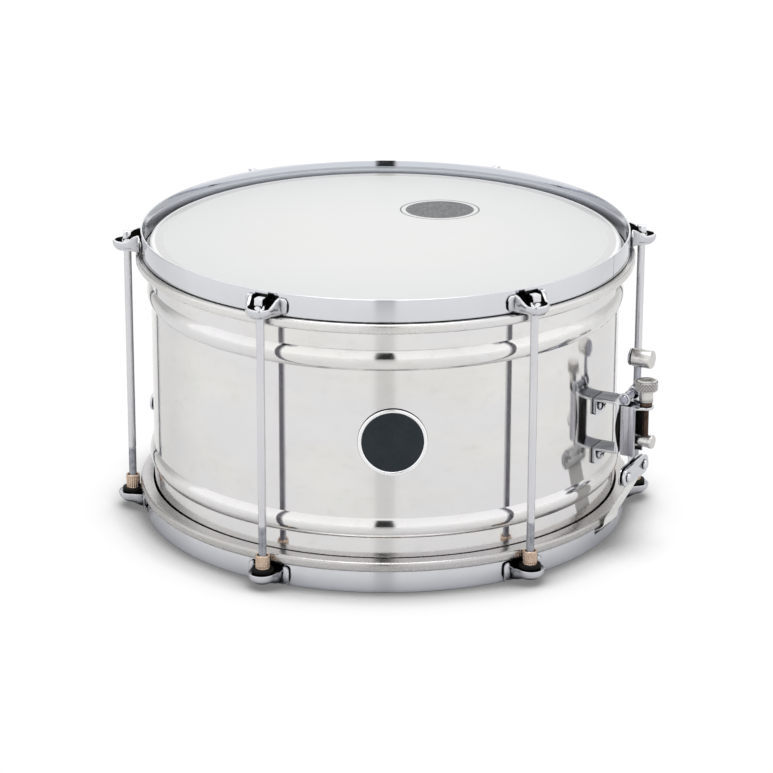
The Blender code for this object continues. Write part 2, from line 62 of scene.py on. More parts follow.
# ================================================================ materials
def nodes_of(name):
    m = bpy.data.materials.new(name)
    m.use_nodes = True
    nt = m.node_tree
    return m, nt, nt.nodes["Principled BSDF"]


def N(nt, kind, **props):
    n = nt.nodes.new(kind)
    for k, v in props.items():
        setattr(n, k, v)
    return n


def math_node(nt, op, a, b=None, c=None, clamp=False):
    n = nt.nodes.new("ShaderNodeMath")
    n.operation = op
    n.use_clamp = clamp
    for i, v in enumerate((a, b, c)):
        if v is None:
            continue
        if hasattr(v, "is_linked") or hasattr(v, "links"):
            nt.links.new(v, n.inputs[i])
        else:
            n.inputs[i].default_value = v
    return n.outputs[0]


def coords(nt):
    return N(nt, "ShaderNodeTexCoord").outputs["Object"]


def noise(nt, vec, scale, detail=3.0, rough=0.55, mapping=None):
    """Noise over a stretched copy of the coordinates."""
    if mapping:
        mp = N(nt, "ShaderNodeMapping")
        mp.inputs["Scale"].default_value = mapping
        nt.links.new(vec, mp.inputs["Vector"])
        vec = mp.outputs["Vector"]
    n = N(nt, "ShaderNodeTexNoise")
    n.inputs["Scale"].default_value = scale
    n.inputs["Detail"].default_value = detail
    n.inputs["Roughness"].default_value = rough
    nt.links.new(vec, n.inputs["Vector"])
    return n.outputs["Fac"]


def ramp(nt, fac, lo, hi, a=0.0, b=1.0):
    """Map fac from lo..hi to a..b."""
    n = N(nt, "ShaderNodeMapRange")
    n.clamp = True
    nt.links.new(fac, n.inputs["Value"])
    n.inputs["From Min"].default_value = lo
    n.inputs["From Max"].default_value = hi
    n.inputs["To Min"].default_value = a
    n.inputs["To Max"].default_value = b
    return n.outputs["Result"]


def mix(nt, fac, a, b, mode="MIX"):
    n = N(nt, "ShaderNodeMix", data_type="RGBA", blend_type=mode)
    if hasattr(fac, "links"):
        nt.links.new(fac, n.inputs["Factor"])
    else:
        n.inputs["Factor"].default_value = fac
    for v, key in ((a, 6), (b, 7)):
        if hasattr(v, "links"):
            nt.links.new(v, n.inputs[key])
        else:
            n.inputs[key].default_value = (*v, 1.0)
    return n.outputs[2]


def bump(nt, bsdf, height, strength, distance=0.0002):
    b = N(nt, "ShaderNodeBump")
    b.inputs["Strength"].default_value = strength
    b.inputs["Distance"].default_value = distance
    nt.links.new(height, b.inputs["Height"])
    nt.links.new(b.outputs["Normal"], bsdf.inputs["Normal"])
    return b


def painted_corner_shade(nt, col, distance, lo, hi, tint=(0.018, 0.018, 0.024)):
    """Painted shade: darkens the colour in corners and between close pieces, by ambient
    occlusion.
    """
    ao = N(nt, "ShaderNodeAmbientOcclusion", samples=6)
    ao.inputs["Distance"].default_value = distance
    return mix(nt, ramp(nt, ao.outputs["AO"], lo, hi), tint, col)


def round_coords(nt, around=0.04, up=1.0):
    """Coordinates unrolled round Z: slow along the turning marks, quick across them."""
    sep = N(nt, "ShaderNodeSeparateXYZ")
    nt.links.new(coords(nt), sep.inputs[0])
    ang = math_node(nt, "ARCTAN2", sep.outputs[1], sep.outputs[0])
    rad = math_node(nt, "SQRT", math_node(
        nt, "ADD", math_node(nt, "MULTIPLY", sep.outputs[0], sep.outputs[0]),
        math_node(nt, "MULTIPLY", sep.outputs[1], sep.outputs[1])))
    comb = N(nt, "ShaderNodeCombineXYZ")
    nt.links.new(math_node(nt, "MULTIPLY", ang, around), comb.inputs[0])
    nt.links.new(math_node(nt, "MULTIPLY", rad, up), comb.inputs[1])
    nt.links.new(math_node(nt, "MULTIPLY", sep.outputs[2], up), comb.inputs[2])
    return comb.outputs[0], sep, ang, rad


def spun_metal(name, base, dark, rough, aniso, mark=0.03, line_scale=1500.0,
               corner=(0.003, 0.3, 0.5), streak=0.5):
    """Turned metal: fine marks round the axis, faint blotches, handling smudges."""
    m, nt, b = nodes_of(name)
    vec, sep, ang, rad = round_coords(nt)
    lines = noise(nt, vec, line_scale, 2.0, 0.6)
    bands = noise(nt, vec, 90.0, 3.0, 0.6)
    streaks = noise(nt, round_coords(nt, 0.10)[0], 160.0, 4.0, 0.7)
    cloud = noise(nt, coords(nt), 11.0, 4.0, 0.6)
    tone = noise(nt, coords(nt), 17.0, 2.0, 0.5, (1.0, 1.0, 2.2))
    smudge = noise(nt, coords(nt), 42.0, 5.0, 0.65)
    col = mix(nt, ramp(nt, cloud, 0.35, 0.7), base, dark)
    col = mix(nt, ramp(nt, bands, 0.35, 0.75, 0.0, 0.35), col,
              tuple(min(1.0, c * 1.12) for c in base))
    col = mix(nt, ramp(nt, streaks, 0.52, 0.78, 0.0, streak), col,
              tuple(c * 0.86 for c in dark))
    col = mix(nt, ramp(nt, tone, 0.40, 0.62, 0.0, 0.6), col,
              (base[0] * 0.985, base[1] * 0.975, min(1.0, base[2] * 1.045)))
    # painted shade in the corners and between close pieces
    col = painted_corner_shade(nt, col, *corner)
    nt.links.new(col, b.inputs["Base Color"])
    r = math_node(nt, "ADD", ramp(nt, lines, 0.3, 0.7, rough * 0.85, rough * 1.15),
                  ramp(nt, smudge, 0.5, 0.8, 0.0, 0.05))
    r = math_node(nt, "ADD", r, ramp(nt, streaks, 0.5, 0.8, 0.0, 0.06))
    nt.links.new(r, b.inputs["Roughness"])
    b.inputs["Metallic"].default_value = 1.0
    b.inputs["Anisotropic"].default_value = aniso
    b.inputs["Anisotropic Rotation"].default_value = 0.25
    tan = N(nt, "ShaderNodeTangent", direction_type="RADIAL", axis="Z")
    nt.links.new(tan.outputs[0], b.inputs["Tangent"])
    bump(nt, b, lines, mark, 0.00005)
    return m


def chrome(name, base=(0.80, 0.81, 0.83), rough=0.06, pits=0.02, corner=None):
    """Plated metal: soft waviness, a few pits, faint finger marks."""
    m, nt, b = nodes_of(name)
    cloud = noise(nt, coords(nt), 30.0, 4.0, 0.6)
    smudge = noise(nt, coords(nt), 130.0, 5.0, 0.7)
    col = mix(nt, ramp(nt, cloud, 0.4, 0.75, 0.0, 0.6), base, tuple(c * 0.9 for c in base))
    # painted shade in the corners and between close pieces, where corner is given
    if corner:
        col = painted_corner_shade(nt, col, *corner)
    nt.links.new(col, b.inputs["Base Color"])
    nt.links.new(ramp(nt, smudge, 0.45, 0.8, rough, rough * 1.9), b.inputs["Roughness"])
    b.inputs["Metallic"].default_value = 1.0
    bump(nt, b, noise(nt, coords(nt), 260.0, 2.0), pits, 0.0002)
    return m


def satin(name, base, dark, rough=0.25):
    """Satin plated metal: very fine grain, faint clouding."""
    m, nt, b = nodes_of(name)
    vec = coords(nt)
    grain = noise(nt, vec, 2600.0, 2.0, 0.6)
    cloud = noise(nt, vec, 160.0, 3.0, 0.6)
    col = mix(nt, ramp(nt, cloud, 0.4, 0.75, 0.0, 0.5), base, dark)
    # painted shade in the corners and between close pieces
    col = painted_corner_shade(nt, col, 0.003, 0.35, 0.7, (0.05, 0.05, 0.055))
    nt.links.new(col, b.inputs["Base Color"])
    nt.links.new(ramp(nt, grain, 0.3, 0.7, rough * 0.85, rough * 1.15),
                 b.inputs["Roughness"])
    b.inputs["Metallic"].default_value = 1.0
    bump(nt, b, grain, 0.04, 0.00003)
    return m


def hoop_material():
    """Plated hoop: bright outside, a butt-welded seam; painted shade makes the inside bluer and
    darker and darkens the corners and the face shut in by each ear's cup.
    """
    m, nt, b = nodes_of("hoop chrome")
    vec = coords(nt)
    sep = N(nt, "ShaderNodeSeparateXYZ")
    nt.links.new(vec, sep.inputs[0])
    x, y, z = sep.outputs[0], sep.outputs[1], sep.outputs[2]
    rad = math_node(nt, "SQRT", math_node(nt, "ADD", math_node(nt, "MULTIPLY", x, x),
                                          math_node(nt, "MULTIPLY", y, y)))
    cloud = noise(nt, vec, 30.0, 4.0, 0.6)
    smudge = noise(nt, vec, 130.0, 5.0, 0.7)
    col = mix(nt, ramp(nt, cloud, 0.4, 0.75, 0.0, 0.6), (0.70, 0.71, 0.745),
              (0.655, 0.665, 0.70))
    # painted shade: the inner wall is bluer and darker
    inside = ramp(nt, rad, 0.1561, 0.1563, 1.0, 0.0)
    col = mix(nt, inside, col, (0.54, 0.56, 0.605))
    ang = math_node(nt, "ARCTAN2", x, math_node(nt, "MULTIPLY", y, -1.0))
    wobble = math_node(nt, "MULTIPLY", math_node(nt, "SUBTRACT", noise(nt, vec, 120.0), 0.5),
                       0.003)
    slant = math_node(nt, "MULTIPLY", math_node(nt, "SUBTRACT", z, 0.183), -0.10)
    off = math_node(nt, "ABSOLUTE", math_node(
        nt, "SUBTRACT", math_node(nt, "ADD", math_node(nt, "ADD", ang, wobble), slant),
        math.radians(62.0)))
    seam = math_node(nt, "MULTIPLY", ramp(nt, off, 0.0012, 0.0026, 1.0, 0.0),
                     ramp(nt, z, 0.095, 0.096))
    col = mix(nt, math_node(nt, "MULTIPLY", seam, ramp(nt, smudge, 0.3, 0.5, 0.55, 1.0)),
              col, (0.16, 0.165, 0.18))
    # painted shade in the corners and between close pieces
    col = painted_corner_shade(nt, col, 0.006, 0.22, 0.55)
    # painted shade: the face shut in by each ear's cup is painted near-black
    local = math_node(nt, "ABSOLUTE", math_node(
        nt, "WRAP", math_node(nt, "SUBTRACT", ang, math.radians(30)), math.radians(30),
        math.radians(-30)))
    edge = math_node(nt, "ABSOLUTE", math_node(nt, "SUBTRACT", z, 0.095))
    ear_cup_shade = math_node(nt, "MULTIPLY", ramp(nt, local, 0.0515, 0.0535, 1.0, 0.0),
                     math_node(nt, "MULTIPLY", ramp(nt, edge, 0.0815, 0.082),
                               ramp(nt, edge, 0.0928, 0.0935, 1.0, 0.0)))
    ear_cup_shade = math_node(nt, "MULTIPLY", ear_cup_shade, ramp(nt, rad, 0.1571, 0.1573))
    col = mix(nt, ear_cup_shade, col, (0.012, 0.011, 0.012))
    nt.links.new(col, b.inputs["Base Color"])
    nt.links.new(ramp(nt, smudge, 0.45, 0.8, 0.06, 0.13), b.inputs["Roughness"])
    b.inputs["Metallic"].default_value = 1.0
    bump(nt, b, noise(nt, vec, 260.0, 2.0), 0.02, 0.0002)
    return m


def brushed_material():
    """Plated steel brushed lengthwise, with dark drawn lines."""
    m, nt, b = nodes_of("brushed bracket")
    vec = coords(nt)
    fine = noise(nt, vec, 1500.0, 2.0, 0.6, (1.0, 1.0, 0.02))
    lines = noise(nt, vec, 620.0, 3.0, 0.7, (1.0, 1.0, 0.03))
    col = mix(nt, ramp(nt, lines, 0.46, 0.66), (0.56, 0.555, 0.60), (0.30, 0.30, 0.35))
    # painted shade in the corners and between close pieces
    col = painted_corner_shade(nt, col, 0.006, 0.36, 0.78)
    nt.links.new(col, b.inputs["Base Color"])
    nt.links.new(ramp(nt, fine, 0.3, 0.7, 0.22, 0.34), b.inputs["Roughness"])
    b.inputs["Metallic"].default_value = 1.0
    bump(nt, b, fine, 0.12, 0.00004)
    return m


def knurl_material():
    """Satin nickel, with painted shade down in the knurling's grooves and in the corners."""
    m, nt, b = nodes_of("knurled nickel")
    vec = coords(nt)
    sep = N(nt, "ShaderNodeSeparateXYZ")
    nt.links.new(vec, sep.inputs[0])
    x, y = sep.outputs[0], sep.outputs[1]
    rad = math_node(nt, "SQRT", math_node(nt, "ADD", math_node(nt, "MULTIPLY", x, x),
                                          math_node(nt, "MULTIPLY", y, y)))
    # painted shade: darker down in the knurling's grooves
    deep = math_node(nt, "MULTIPLY", ramp(nt, rad, 0.00682, 0.00716, 1.0, 0.0),
                     ramp(nt, rad, 0.0065, 0.0066))
    deep = math_node(nt, "MULTIPLY", deep, ramp(nt, sep.outputs[2], 0.1079, 0.1081))
    cloud = noise(nt, vec, 160.0, 3.0, 0.6)
    col = mix(nt, ramp(nt, cloud, 0.4, 0.75), (0.70, 0.69, 0.67), (0.63, 0.62, 0.60))
    col = mix(nt, deep, col, (0.06, 0.052, 0.05))
    ring = math_node(nt, "MULTIPLY", ramp(nt, sep.outputs[2], 0.1006, 0.1030, 1.0, 0.0),
                     math_node(nt, "ADD", math_node(nt, "MULTIPLY", math_node(
                         nt, "SINE", math_node(nt, "MULTIPLY", sep.outputs[2], 5800.0)), 0.5),
                         0.5))
    col = mix(nt, ring, col, (0.05, 0.04, 0.04))
    # painted shade in the corners and between close pieces
    col = painted_corner_shade(nt, col, 0.003, 0.35, 0.7, (0.05, 0.05, 0.055))
    nt.links.new(col, b.inputs["Base Color"])
    grain = noise(nt, vec, 2600.0, 2.0, 0.6)
    nt.links.new(ramp(nt, grain, 0.3, 0.7, 0.15, 0.21), b.inputs["Roughness"])
    b.inputs["Metallic"].default_value = 1.0
    bump(nt, b, grain, 0.04, 0.00003)
    return m


M = {}
M["shell"] = spun_metal("shell aluminium", (0.78, 0.775, 0.755), (0.735, 0.725, 0.70),
                        0.085, 0.85, 0.03)
M["ring"] = spun_metal("ring aluminium", (0.74, 0.735, 0.71), (0.65, 0.635, 0.60),
                       0.24, 0.6, 0.02, 900.0, (0.0025, 0.3, 0.5), 0.25)
# painted shade: the lower ring is a darker copy of the ring aluminium
M["ring_low_shaded"] = spun_metal("lower ring aluminium painted shade", (0.54, 0.53, 0.51), (0.46, 0.445, 0.42),
                           0.26, 0.6, 0.02, 900.0, (0.0012, 0.1, 0.4), 0.25)
M["hoop"] = hoop_material()
M["ear"] = chrome("ear chrome", (0.64, 0.645, 0.68), 0.045, 0.05, (0.0065, 0.5, 0.95))
# painted highlight: the ears' rims get a brighter copy of the ear chrome
M["lip"] = chrome("ear rim chrome painted highlight", (0.84, 0.84, 0.86), 0.08, 0.03)
M["head"] = chrome("key head steel", (0.74, 0.745, 0.77), 0.12, 0.08)
M["strainer"] = chrome("strainer chrome", (0.66, 0.67, 0.70), 0.05, 0.05,
                       (0.007, 0.34, 0.76))
# painted shade: a darker chrome for the strainer flanges' upward faces
M["shelf"] = chrome("bracket shelf chrome painted shade", (0.24, 0.25, 0.29), 0.06, 0.05)
M["brushed"] = brushed_material()
M["lever"] = chrome("lever chrome", (0.40, 0.41, 0.47), 0.05, 0.05, (0.006, 0.36, 0.8))
M["nickel"] = satin("nickel", (0.69, 0.68, 0.66), (0.62, 0.61, 0.59), 0.18)
M["knurl"] = knurl_material()
M["wire"] = chrome("snare wire", (0.62, 0.62, 0.63), 0.18, 0.02)


def rod_material():
    m, nt, b = nodes_of("rod steel")
    vec = coords(nt)
    sep = N(nt, "ShaderNodeSeparateXYZ")
    nt.links.new(vec, sep.inputs[0])
    thread = ramp(nt, sep.outputs[2], 0.0395, 0.0405, 1.0, 0.0)
    cloud = noise(nt, vec, 60.0, 3.0, 0.6, (1.0, 1.0, 0.2))
    bright = mix(nt, ramp(nt, cloud, 0.4, 0.7), (0.71, 0.71, 0.735), (0.63, 0.635, 0.665))
    grey = mix(nt, ramp(nt, noise(nt, vec, 300.0, 4.0, 0.7), 0.4, 0.65),
               (0.36, 0.37, 0.40), (0.22, 0.23, 0.26))
    col = mix(nt, thread, bright, grey)
    shaded = ramp(nt, sep.outputs[0], -0.0019, -0.0008, 1.0, 0.0)
    col = mix(nt, math_node(nt, "MULTIPLY", shaded, 0.8), col, (0.16, 0.155, 0.185))
    nt.links.new(col, b.inputs["Base Color"])
    lines = noise(nt, vec, 900.0, 2.0, 0.6, (1.0, 1.0, 0.02))
    r = math_node(nt, "ADD", ramp(nt, lines, 0.3, 0.7, 0.14, 0.24),
                  math_node(nt, "MULTIPLY", thread, 0.15))
    nt.links.new(r, b.inputs["Roughness"])
    b.inputs["Metallic"].default_value = 1.0
    bump(nt, b, lines, 0.05, 0.00005)
    return m


def plain(name, base, dark, rough, metal=0.0, scale=120.0, strength=0.15, dist=0.0001,
          spec=0.5):
    m, nt, b = nodes_of(name)
    vec = coords(nt)
    col = mix(nt, ramp(nt, noise(nt, vec, scale, 4.0, 0.65), 0.35, 0.7), base, dark)
    nt.links.new(col, b.inputs["Base Color"])
    nt.links.new(ramp(nt, noise(nt, vec, scale * 2.3, 3.0), 0.3, 0.7,
                      max(0.02, rough - 0.07), rough + 0.07), b.inputs["Roughness"])
    b.inputs["Metallic"].default_value = metal
    b.inputs["Specular IOR Level"].default_value = spec
    bump(nt, b, noise(nt, vec, scale * 8, 3.0), strength, dist)
    return m


M["rod"] = rod_material()
M["nut"] = plain("nut bronze", (0.70, 0.55, 0.44), (0.54, 0.39, 0.29), 0.26, 1.0, 300.0, 0.2)
M["washer"] = plain("washer black", (0.004, 0.004, 0.004), (0.009, 0.008, 0.008), 0.6,
                    spec=0.12)
M["screw"] = plain("screw brown", (0.14, 0.09, 0.07), (0.07, 0.05, 0.04), 0.34, 1.0, 400.0, 0.2)
M["strap"] = plain("snare strap", (0.87, 0.87, 0.85), (0.83, 0.825, 0.80), 0.42, 0.0,
                   150.0, 0.1)
M["enamel"] = plain("badge enamel", (0.014, 0.021, 0.027), (0.022, 0.028, 0.036), 0.30, 0.0,
                    90.0, 0.05, spec=0.2)
M["rim"] = chrome("badge rim", (0.95, 0.95, 0.96), 0.20, 0.03)
# painted shade: a near-black put in recesses, slots, bores, grooves, channels and on the badge's
# edge
M["dark"] = plain("painted shade black", (0.006, 0.0055, 0.005), (0.016, 0.012, 0.011), 0.55,
                  spec=0.2)


# a plain dark oval printed inside a thin line: turn, centre and half sizes in mm
OVAL = (0.0, 39.0, 59.0, 26.6, 23.5)


def film_material(name, oval):
    """Coated drum head: a faintly speckled white, smoother at the collar."""
    m, nt, b = nodes_of(name)
    vec = coords(nt)
    sep = N(nt, "ShaderNodeSeparateXYZ")
    nt.links.new(vec, sep.inputs[0])
    x, y = sep.outputs[0], sep.outputs[1]
    rad = math_node(nt, "SQRT", math_node(nt, "ADD", math_node(nt, "MULTIPLY", x, x),
                                          math_node(nt, "MULTIPLY", y, y)))
    cloud = noise(nt, vec, 9.0, 4.0, 0.6)
    speck = noise(nt, vec, 900.0, 3.0, 0.7)
    streak = noise(nt, vec, 60.0, 4.0, 0.65, (0.25, 1.0, 1.0))
    col = mix(nt, ramp(nt, cloud, 0.35, 0.7), (0.60, 0.606, 0.602), (0.60, 0.598, 0.582))
    col = mix(nt, ramp(nt, streak, 0.45, 0.75, 0.0, 0.5), col, (0.578, 0.586, 0.583))
    col = mix(nt, ramp(nt, speck, 0.55, 0.8, 0.0, 0.25), col, (0.50, 0.50, 0.49))
    # painted shade: the film is darker and cooler from the middle towards the edge
    col = mix(nt, ramp(nt, rad, 0.05, 0.13, 0.0, 0.6), col, (0.54, 0.553, 0.556))
    # the smooth uncoated band by the edge, and the bend that catches the light
    collar = ramp(nt, rad, 0.1428, 0.1434)
    bend = ramp(nt, rad, 0.1480, 0.1492)
    col = mix(nt, collar, col, (0.50, 0.505, 0.50))
    col = mix(nt, bend, col, (0.80, 0.805, 0.795))
    rough = ramp(nt, rad, 0.1428, 0.1434, 0.42, 0.10)
    if oval:
        # a plain printed oval: dark field, thin pale line inside its edge
        a = math.radians(oval[0])
        cx, cy, half_w, half_h = (v * MM for v in oval[1:])
        dx = math_node(nt, "SUBTRACT", x, cx)
        dy = math_node(nt, "SUBTRACT", y, cy)
        u = math_node(nt, "ADD", math_node(nt, "MULTIPLY", dx, math.cos(a) / half_w),
                      math_node(nt, "MULTIPLY", dy, math.sin(a) / half_w))
        v = math_node(nt, "ADD", math_node(nt, "MULTIPLY", dx, -math.sin(a) / half_h),
                      math_node(nt, "MULTIPLY", dy, math.cos(a) / half_h))
        d = math_node(nt, "SQRT", math_node(nt, "ADD", math_node(nt, "MULTIPLY", u, u),
                                            math_node(nt, "MULTIPLY", v, v)))
        field = ramp(nt, d, 0.845, 0.86, 1.0, 0.0)
        line = math_node(nt, "MULTIPLY", ramp(nt, d, 0.955, 0.965),
                         ramp(nt, d, 0.99, 1.0, 1.0, 0.0))
        worn = ramp(nt, noise(nt, vec, 500.0, 3.0, 0.7), 0.3, 0.6, 0.8, 1.0)
        ink = math_node(nt, "MULTIPLY", math_node(nt, "MAXIMUM", field, line), worn)
        col = mix(nt, ink, col, (0.045, 0.048, 0.056))
    nt.links.new(col, b.inputs["Base Color"])
    nt.links.new(rough, b.inputs["Roughness"])
    b.inputs["Specular IOR Level"].default_value = 0.5
    bump(nt, b, speck, 0.10, 0.00006)
    return m


M["film"] = film_material("batter film", OVAL)
M["film_low"] = film_material("snare-side film", None)


# ================================================================ mesh helpers
def mesh_from(bm, name):
    me = bpy.data.meshes.new(name)
    bmesh.ops.recalc_face_normals(bm, faces=bm.faces)
    bm.to_mesh(me)
    bm.free()
    return me


def smooth(me, angle=35):
    me.shade_smooth()
    me.set_sharp_from_angle(angle=math.radians(angle))
    return me


def lathe(profile, seg=96, radius=None):
    """Turned solid from (radius, height) points in mm. radius(i, a, r, z) may modulate it."""
    bm = bmesh.new()
    rings = []
    for i, (r, z) in enumerate(profile):
        if r <= 1e-6:
            rings.append([bm.verts.new((0, 0, z * MM))])
            continue
        ring = []
        for k in range(seg):
            a = 2 * math.pi * k / seg
            rr = radius(a, r, z) if radius else r
            ring.append(bm.verts.new((rr * MM * math.cos(a), rr * MM * math.sin(a), z * MM)))
        rings.append(ring)
    pairs = list(zip(rings, rings[1:]))
    if profile[0][0] > 1e-6:
        pairs.append((rings[-1], rings[0]))
    for a, b in pairs:
        for k in range(seg):
            j = (k + 1) % seg
            if len(a) == 1 and len(b) == 1:
                continue
            if len(a) == 1:
                bm.faces.new((a[0], b[k], b[j]))
            elif len(b) == 1:
                bm.faces.new((a[k], b[0], a[j]))
            else:
                bm.faces.new((a[k], b[k], b[j], a[j]))
    return mesh_from(bm, "lathe")


def rounded_profile(points, rad, n=4):
    """Round every corner of a closed or open (r, z) profile; rad is one radius or a list."""
    out = []
    m = len(points)
    for i, p in enumerate(points):
        r = rad[i] if isinstance(rad, (list, tuple)) else rad
        a, b = points[i - 1], points[(i + 1) % m]
        if r <= 0 or (p[0] < 1e-6) or (i == 0 and p[0] < 1e-6):
            out.append(p)
            continue
        va = Vector((a[0] - p[0], a[1] - p[1]))
        vb = Vector((b[0] - p[0], b[1] - p[1]))
        if va.length < 1e-6 or vb.length < 1e-6:
            out.append(p)
            continue
        r = min(r, va.length * 0.45, vb.length * 0.45)
        pa = Vector(p) + va.normalized() * r
        pb = Vector(p) + vb.normalized() * r
        for k in range(n + 1):
            t = k / n
            q = pa * (1 - t) ** 2 + Vector(p) * 2 * t * (1 - t) + pb * t ** 2
            out.append((q.x, q.y))
    return out


def bevelled(me, width, segments=2, angle=30):
    bm = bmesh.new()
    bm.from_mesh(me)
    bmesh.ops.remove_doubles(bm, verts=bm.verts, dist=2e-6)
    bmesh.ops.dissolve_limit(bm, angle_limit=math.radians(1.0), verts=bm.verts,
                             edges=bm.edges)
    es = [e for e in bm.edges if len(e.link_faces) == 2 and
          e.calc_face_angle(0.0) > math.radians(angle)]
    if es:
        bmesh.ops.bevel(bm, geom=es, offset=width * MM, segments=segments, profile=0.5,
                        affect="EDGES", clamp_overlap=True)
    bm.to_mesh(me)
    bm.free()
    return smooth(me, 40)


def box(x0, x1, y0, y1, z0, z1):
    bm = bmesh.new()
    bmesh.ops.create_cube(bm, size=1.0)
    for v in bm.verts:
        v.co.x = (x0 + (v.co.x + 0.5) * (x1 - x0)) * MM
        v.co.y = (y0 + (v.co.y + 0.5) * (y1 - y0)) * MM
        v.co.z = (z0 + (v.co.z + 0.5) * (z1 - z0)) * MM
    return mesh_from(bm, "box")


def cylinder(r, z0, z1, seg=48):
    return lathe([(0, z1), (r, z1), (r, z0), (0, z0)], seg)


def plate(outline, z0, z1):
    bm = bmesh.new()
    top = [bm.verts.new((x * MM, y * MM, z1 * MM)) for x, y in outline]
    low = [bm.verts.new((x * MM, y * MM, z0 * MM)) for x, y in outline]
    bm.faces.new(top)
    bm.faces.new(low[::-1])
    n = len(outline)
    for i in range(n):
        j = (i + 1) % n
        bm.faces.new((top[i], low[i], low[j], top[j]))
    return mesh_from(bm, "plate")


def moved(me, x=0.0, y=0.0, z=0.0, rot=None):
    if rot is not None:
        me.transform(rot)
    me.transform(Matrix.Translation((x * MM, y * MM, z * MM)))
    me.update()
    return me


ALONG_X = Matrix.Rotation(math.radians(90), 4, "Y")
ALONG_Y = Matrix.Rotation(math.radians(-90), 4, "X")
UPRIGHT_XZ = Matrix.Rotation(math.radians(90), 4, "X")
UPRIGHT_YZ = Matrix(((0, 0, 1, 0), (1, 0, 0, 0), (0, 1, 0, 0), (0, 0, 0, 1)))


def combine(base, *steps):
    ob = bpy.data.objects.new("work", base)
    LOOKS.objects.link(ob)
    tools = []
    for kind, me in steps:
        t = bpy.data.objects.new("tool", me)
        LOOKS.objects.link(t)
        tools.append(t)
        m = ob.modifiers.new(kind, "BOOLEAN")
        m.operation = kind
        m.solver = "EXACT"
        m.object = t
    bpy.context.view_layer.update()
    dg = bpy.context.evaluated_depsgraph_get()
    me = bpy.data.meshes.new_from_object(ob.evaluated_get(dg))
    for o in [ob, *tools]:
        bpy.data.objects.remove(o, do_unlink=True)
    bm = bmesh.new()
    bm.from_mesh(me)
    bmesh.ops.remove_doubles(bm, verts=bm.verts, dist=2e-6)
    bm.to_mesh(me)
    bm.free()
    return me


def joined(*meshes):
    """Several meshes in one, each kept as it is (with its own material slots)."""
    bm = bmesh.new()
    mats = []
    for me in meshes:
        first = len(mats)
        mats.extend(me.materials)
        start = len(bm.faces)
        bm.from_mesh(me)
        bm.faces.ensure_lookup_table()
        for f in bm.faces[start:]:
            f.material_index += first
    out = bpy.data.meshes.new("joined")
    bm.to_mesh(out)
    bm.free()
    for m in mats:
        out.materials.append(m)
    return out


def painted(me, mat):
    me.materials.clear()
    me.materials.append(M[mat])
    return me


def body_of(node):
    for name, members in frame["record"]["behaviour"]["bodies"].items():
        if node in members:
            return name
    raise KeyError(node)


def place(me, node, mat=None, matrix=None, angle=None):
    """Put a fine mesh in the place of a CAD node."""
    if mat:
        painted(me, mat)
    if angle:
        smooth(me, angle)
    ob = bpy.data.objects.new("fine_" + node, me)
    LOOKS.objects.link(ob)
    if matrix is not None:
        ob.matrix_world = matrix
    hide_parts(node)
    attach(ob, body_of(node))
    return ob


def about(angle, x=0.0, y=0.0, z=0.0):
    """Matrix for a piece drawn with +X away from the drum, at an angle from the front."""
    return (Matrix.Rotation(math.radians(angle - 90), 4, "Z") @
            Matrix.Translation((x * MM, y * MM, z * MM)))


# ================================================================ shell
BEAD_RISE, BEAD_Z, BEAD_HALF = 2.6, 40.4, 6.6
RI = SHELL_R - 1.6


def bead(zc, n=24, r0=SHELL_R, rise=BEAD_RISE):
    """A rolled bead: a plain arc that meets the wall at a crisp line."""
    pts = []
    for i in range(n + 1):
        u = 1 - 2 * i / n
        pts.append((r0 + rise * (1 - abs(u) ** 2.2), zc + BEAD_HALF * u))
    return pts


def wall(z_hi, z_lo, r, n=6):
    return [(r, z_hi + (z_lo - z_hi) * i / n) for i in range(1, n)]


edge = [(149.5, 181.3), (150.2, 181.4), (150.9, 181.1), (151.3, 180.5), (SHELL_R, 179.8)]
Z_UP = HEIGHT - BEAD_Z
outer = (edge + [(SHELL_R, 170.0)] + bead(Z_UP) + wall(Z_UP - BEAD_HALF, BEAD_Z + BEAD_HALF,
                                                      SHELL_R, 10) +
         bead(BEAD_Z) + [(SHELL_R, 20.0)] + [(r, HEIGHT - z) for r, z in reversed(edge)])
inner = ([(RI, 11.0)] + bead(BEAD_Z, 10, RI, 2.2)[::-1] +
         bead(Z_UP, 10, RI, 2.2)[::-1] + [(RI, 179.0)])
place(lathe(outer + inner, 256), "shell", "shell", angle=22)

# ================================================================ rings
RING_TOP = 175.2
ring_pts = [(160.0, RING_TOP), (160.9, RING_TOP - 1.1), (160.9, RING_TOP - 5.0),
            (159.8, RING_TOP - 6.3), (152.5, RING_TOP - 6.3), (152.5, RING_TOP)]
ring_fine = rounded_profile(ring_pts, [0.5, 0.7, 1.4, 1.4, 0.3, 0.3], 5)
place(lathe(ring_fine, 224), "top_head_ring", "ring", angle=40)
place(lathe([(r, HEIGHT - z) for r, z in reversed(ring_fine)], 224),
      "bottom_head_ring", "ring_low_shaded", angle=40)

